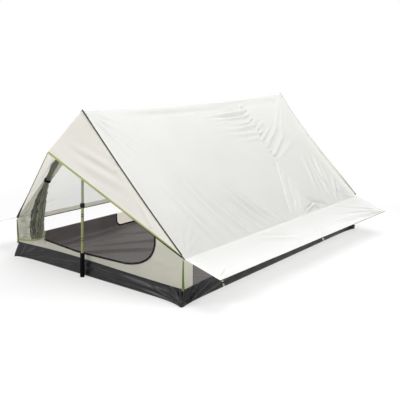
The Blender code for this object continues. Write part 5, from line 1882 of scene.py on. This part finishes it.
@dataclass
class Studio:
    """Camera, floor and light.

    Attributes:
        place: where the camera stands.
        yaw: how far it looks round from the tent's length.
        pitch: how far it looks down.
        roll: how far it leans.
        lens: its lens for a sensor of the given width in mm.
        sensor: the sensor's width.
        shift: sideways and upward shift of its picture.
        reach: half the floor's length.
        suns: name, direction, power and spread of each far lamp.
        top: place, size and power of the lamp overhead.
        level: how brightly the surroundings light the tent.
    """

    place: Triple = (2.8958, -3.7202, 1.3341)
    yaw: float = 0.6627
    pitch: float = 0.2094
    roll: float = 0.0069
    lens: float = 56.23
    sensor: float = 36.0
    shift: tuple[float, float] = (0.004, -0.0022)
    reach: float = 40.0
    suns: tuple[tuple[str, Triple, float, float], ...] = (
        ("key", (-0.55, -0.66, 0.52), 0.95, 14.0), ("rim", (0.8, -0.5, 0.22), 0.14, 10.0))
    top: tuple[Triple, float, float] = ((1.9, 0.0, 6.2), 5.0, 400.0)
    level: float = 0.38

    def add(self, name: str, data: bpy.types.ID) -> Piece:
        """Put a camera, lamp or mesh into the scene.

        Args:
            name: its name.
            data: what it is.

        Returns:
            The new object.
        """
        thing = bpy.data.objects.new(name, data)
        bpy.context.scene.collection.objects.link(thing)
        return thing

    def build_camera(self) -> None:
        """Stand the camera where the photograph was taken."""
        turns = ((math.sin(angle), math.cos(angle)) for angle in (self.yaw, self.pitch, self.roll))
        (yaw_s, yaw_c), (pitch_s, pitch_c), (s, c) = turns
        ahead, right = Vector((-yaw_s * pitch_c, yaw_c * pitch_c, -pitch_s)), Vector((yaw_c, yaw_s, 0.0))
        up = right.cross(ahead)
        right, up = right * c + up * s, up * c - right * s
        data = bpy.data.cameras.new("camera")
        data.lens, data.sensor_width = self.lens, self.sensor
        data.shift_x, data.shift_y = self.shift
        data.clip_start, data.clip_end = 0.05, 200.0
        camera = self.add("camera", data)
        camera.matrix_world = Matrix((right, up, -ahead)).transposed().to_4x4()
        camera.location = self.place
        bpy.context.scene.camera = camera

    def build_floor(self) -> None:
        """Lay a pale floor that keeps the tent's shadow."""
        make = Surface("studio_floor")
        make.feed({"Base Color": (0.86, 0.86, 0.86), "Roughness": 0.9})
        away = make.add("VectorMath", {0: make.place("Object")}, operation="LENGTH").outputs["Value"]
        share = make.maths("MULTIPLY", make.seen(), make.spread(away, 1.8, 3.0, 0.55, 1.0))
        make.cover(share, make.add("Emission", {"Color": (1.0, 1.0, 1.0)}))
        mesh = bpy.data.meshes.new("studio_floor")
        corners = [(x * self.reach, y * self.reach, -0.0008) for x, y in ((-1, -1), (1, -1), (1, 1), (-1, 1))]
        mesh.from_pydata(corners, [], [(0, 1, 2, 3)])
        mesh.materials.append(make.material)
        self.add("studio_floor", mesh)

    def build_light(self) -> None:
        """Light the tent softly from all round and a little more from above."""
        world = bpy.context.scene.world = bpy.data.worlds.new("studio")
        world.use_nodes = True
        make, back = Nodes(world.node_tree), world.node_tree.nodes["Background"]
        make.plug(back.inputs[0], (1.0, 1.0, 1.0))
        make.plug(back.inputs[1], make.spread(make.seen(), 0.0, 1.0, self.level, 1.0))
        for name, aim, power, angle in self.suns:
            data = bpy.data.lights.new(name, "SUN")
            data.energy, data.angle = power, math.radians(angle)
            self.add(name, data).rotation_euler = Vector(aim).to_track_quat("Z", "Y").to_euler()
        data = bpy.data.lights.new("top", "AREA")
        place, data.size, data.energy = self.top
        data.shape = "SQUARE"
        self.add("top", data).location = place
        bpy.context.scene.view_settings.view_transform = "Standard"

    def build(self) -> None:
        """Set up the studio."""
        self.build_camera()
        self.build_floor()
        self.build_light()


def main() -> None:
    """Build the studio, the cords and then every sub-assembly."""
    logging.basicConfig(level=logging.INFO, format="%(name)s: %(message)s")
    bench, pitch = Bench(FINISHES), Pitch()
    Studio().build()
    trims = Trims(pitch, bench)
    trims.build_loops()
    for part in (*(kind(pitch, bench) for kind in (Canopy, Tub, Walls, FrontDoor)), trims,
                 Pole(pitch, bench, End.FRONT, -0.054, 0.022), Pole(pitch, bench, End.REAR, 0.0, 0.045)):
        part.build()
    dress_plain(bench)
    for name in bench.made:
        log.info("made %s", name)


if __name__ == "__main__":
    main()
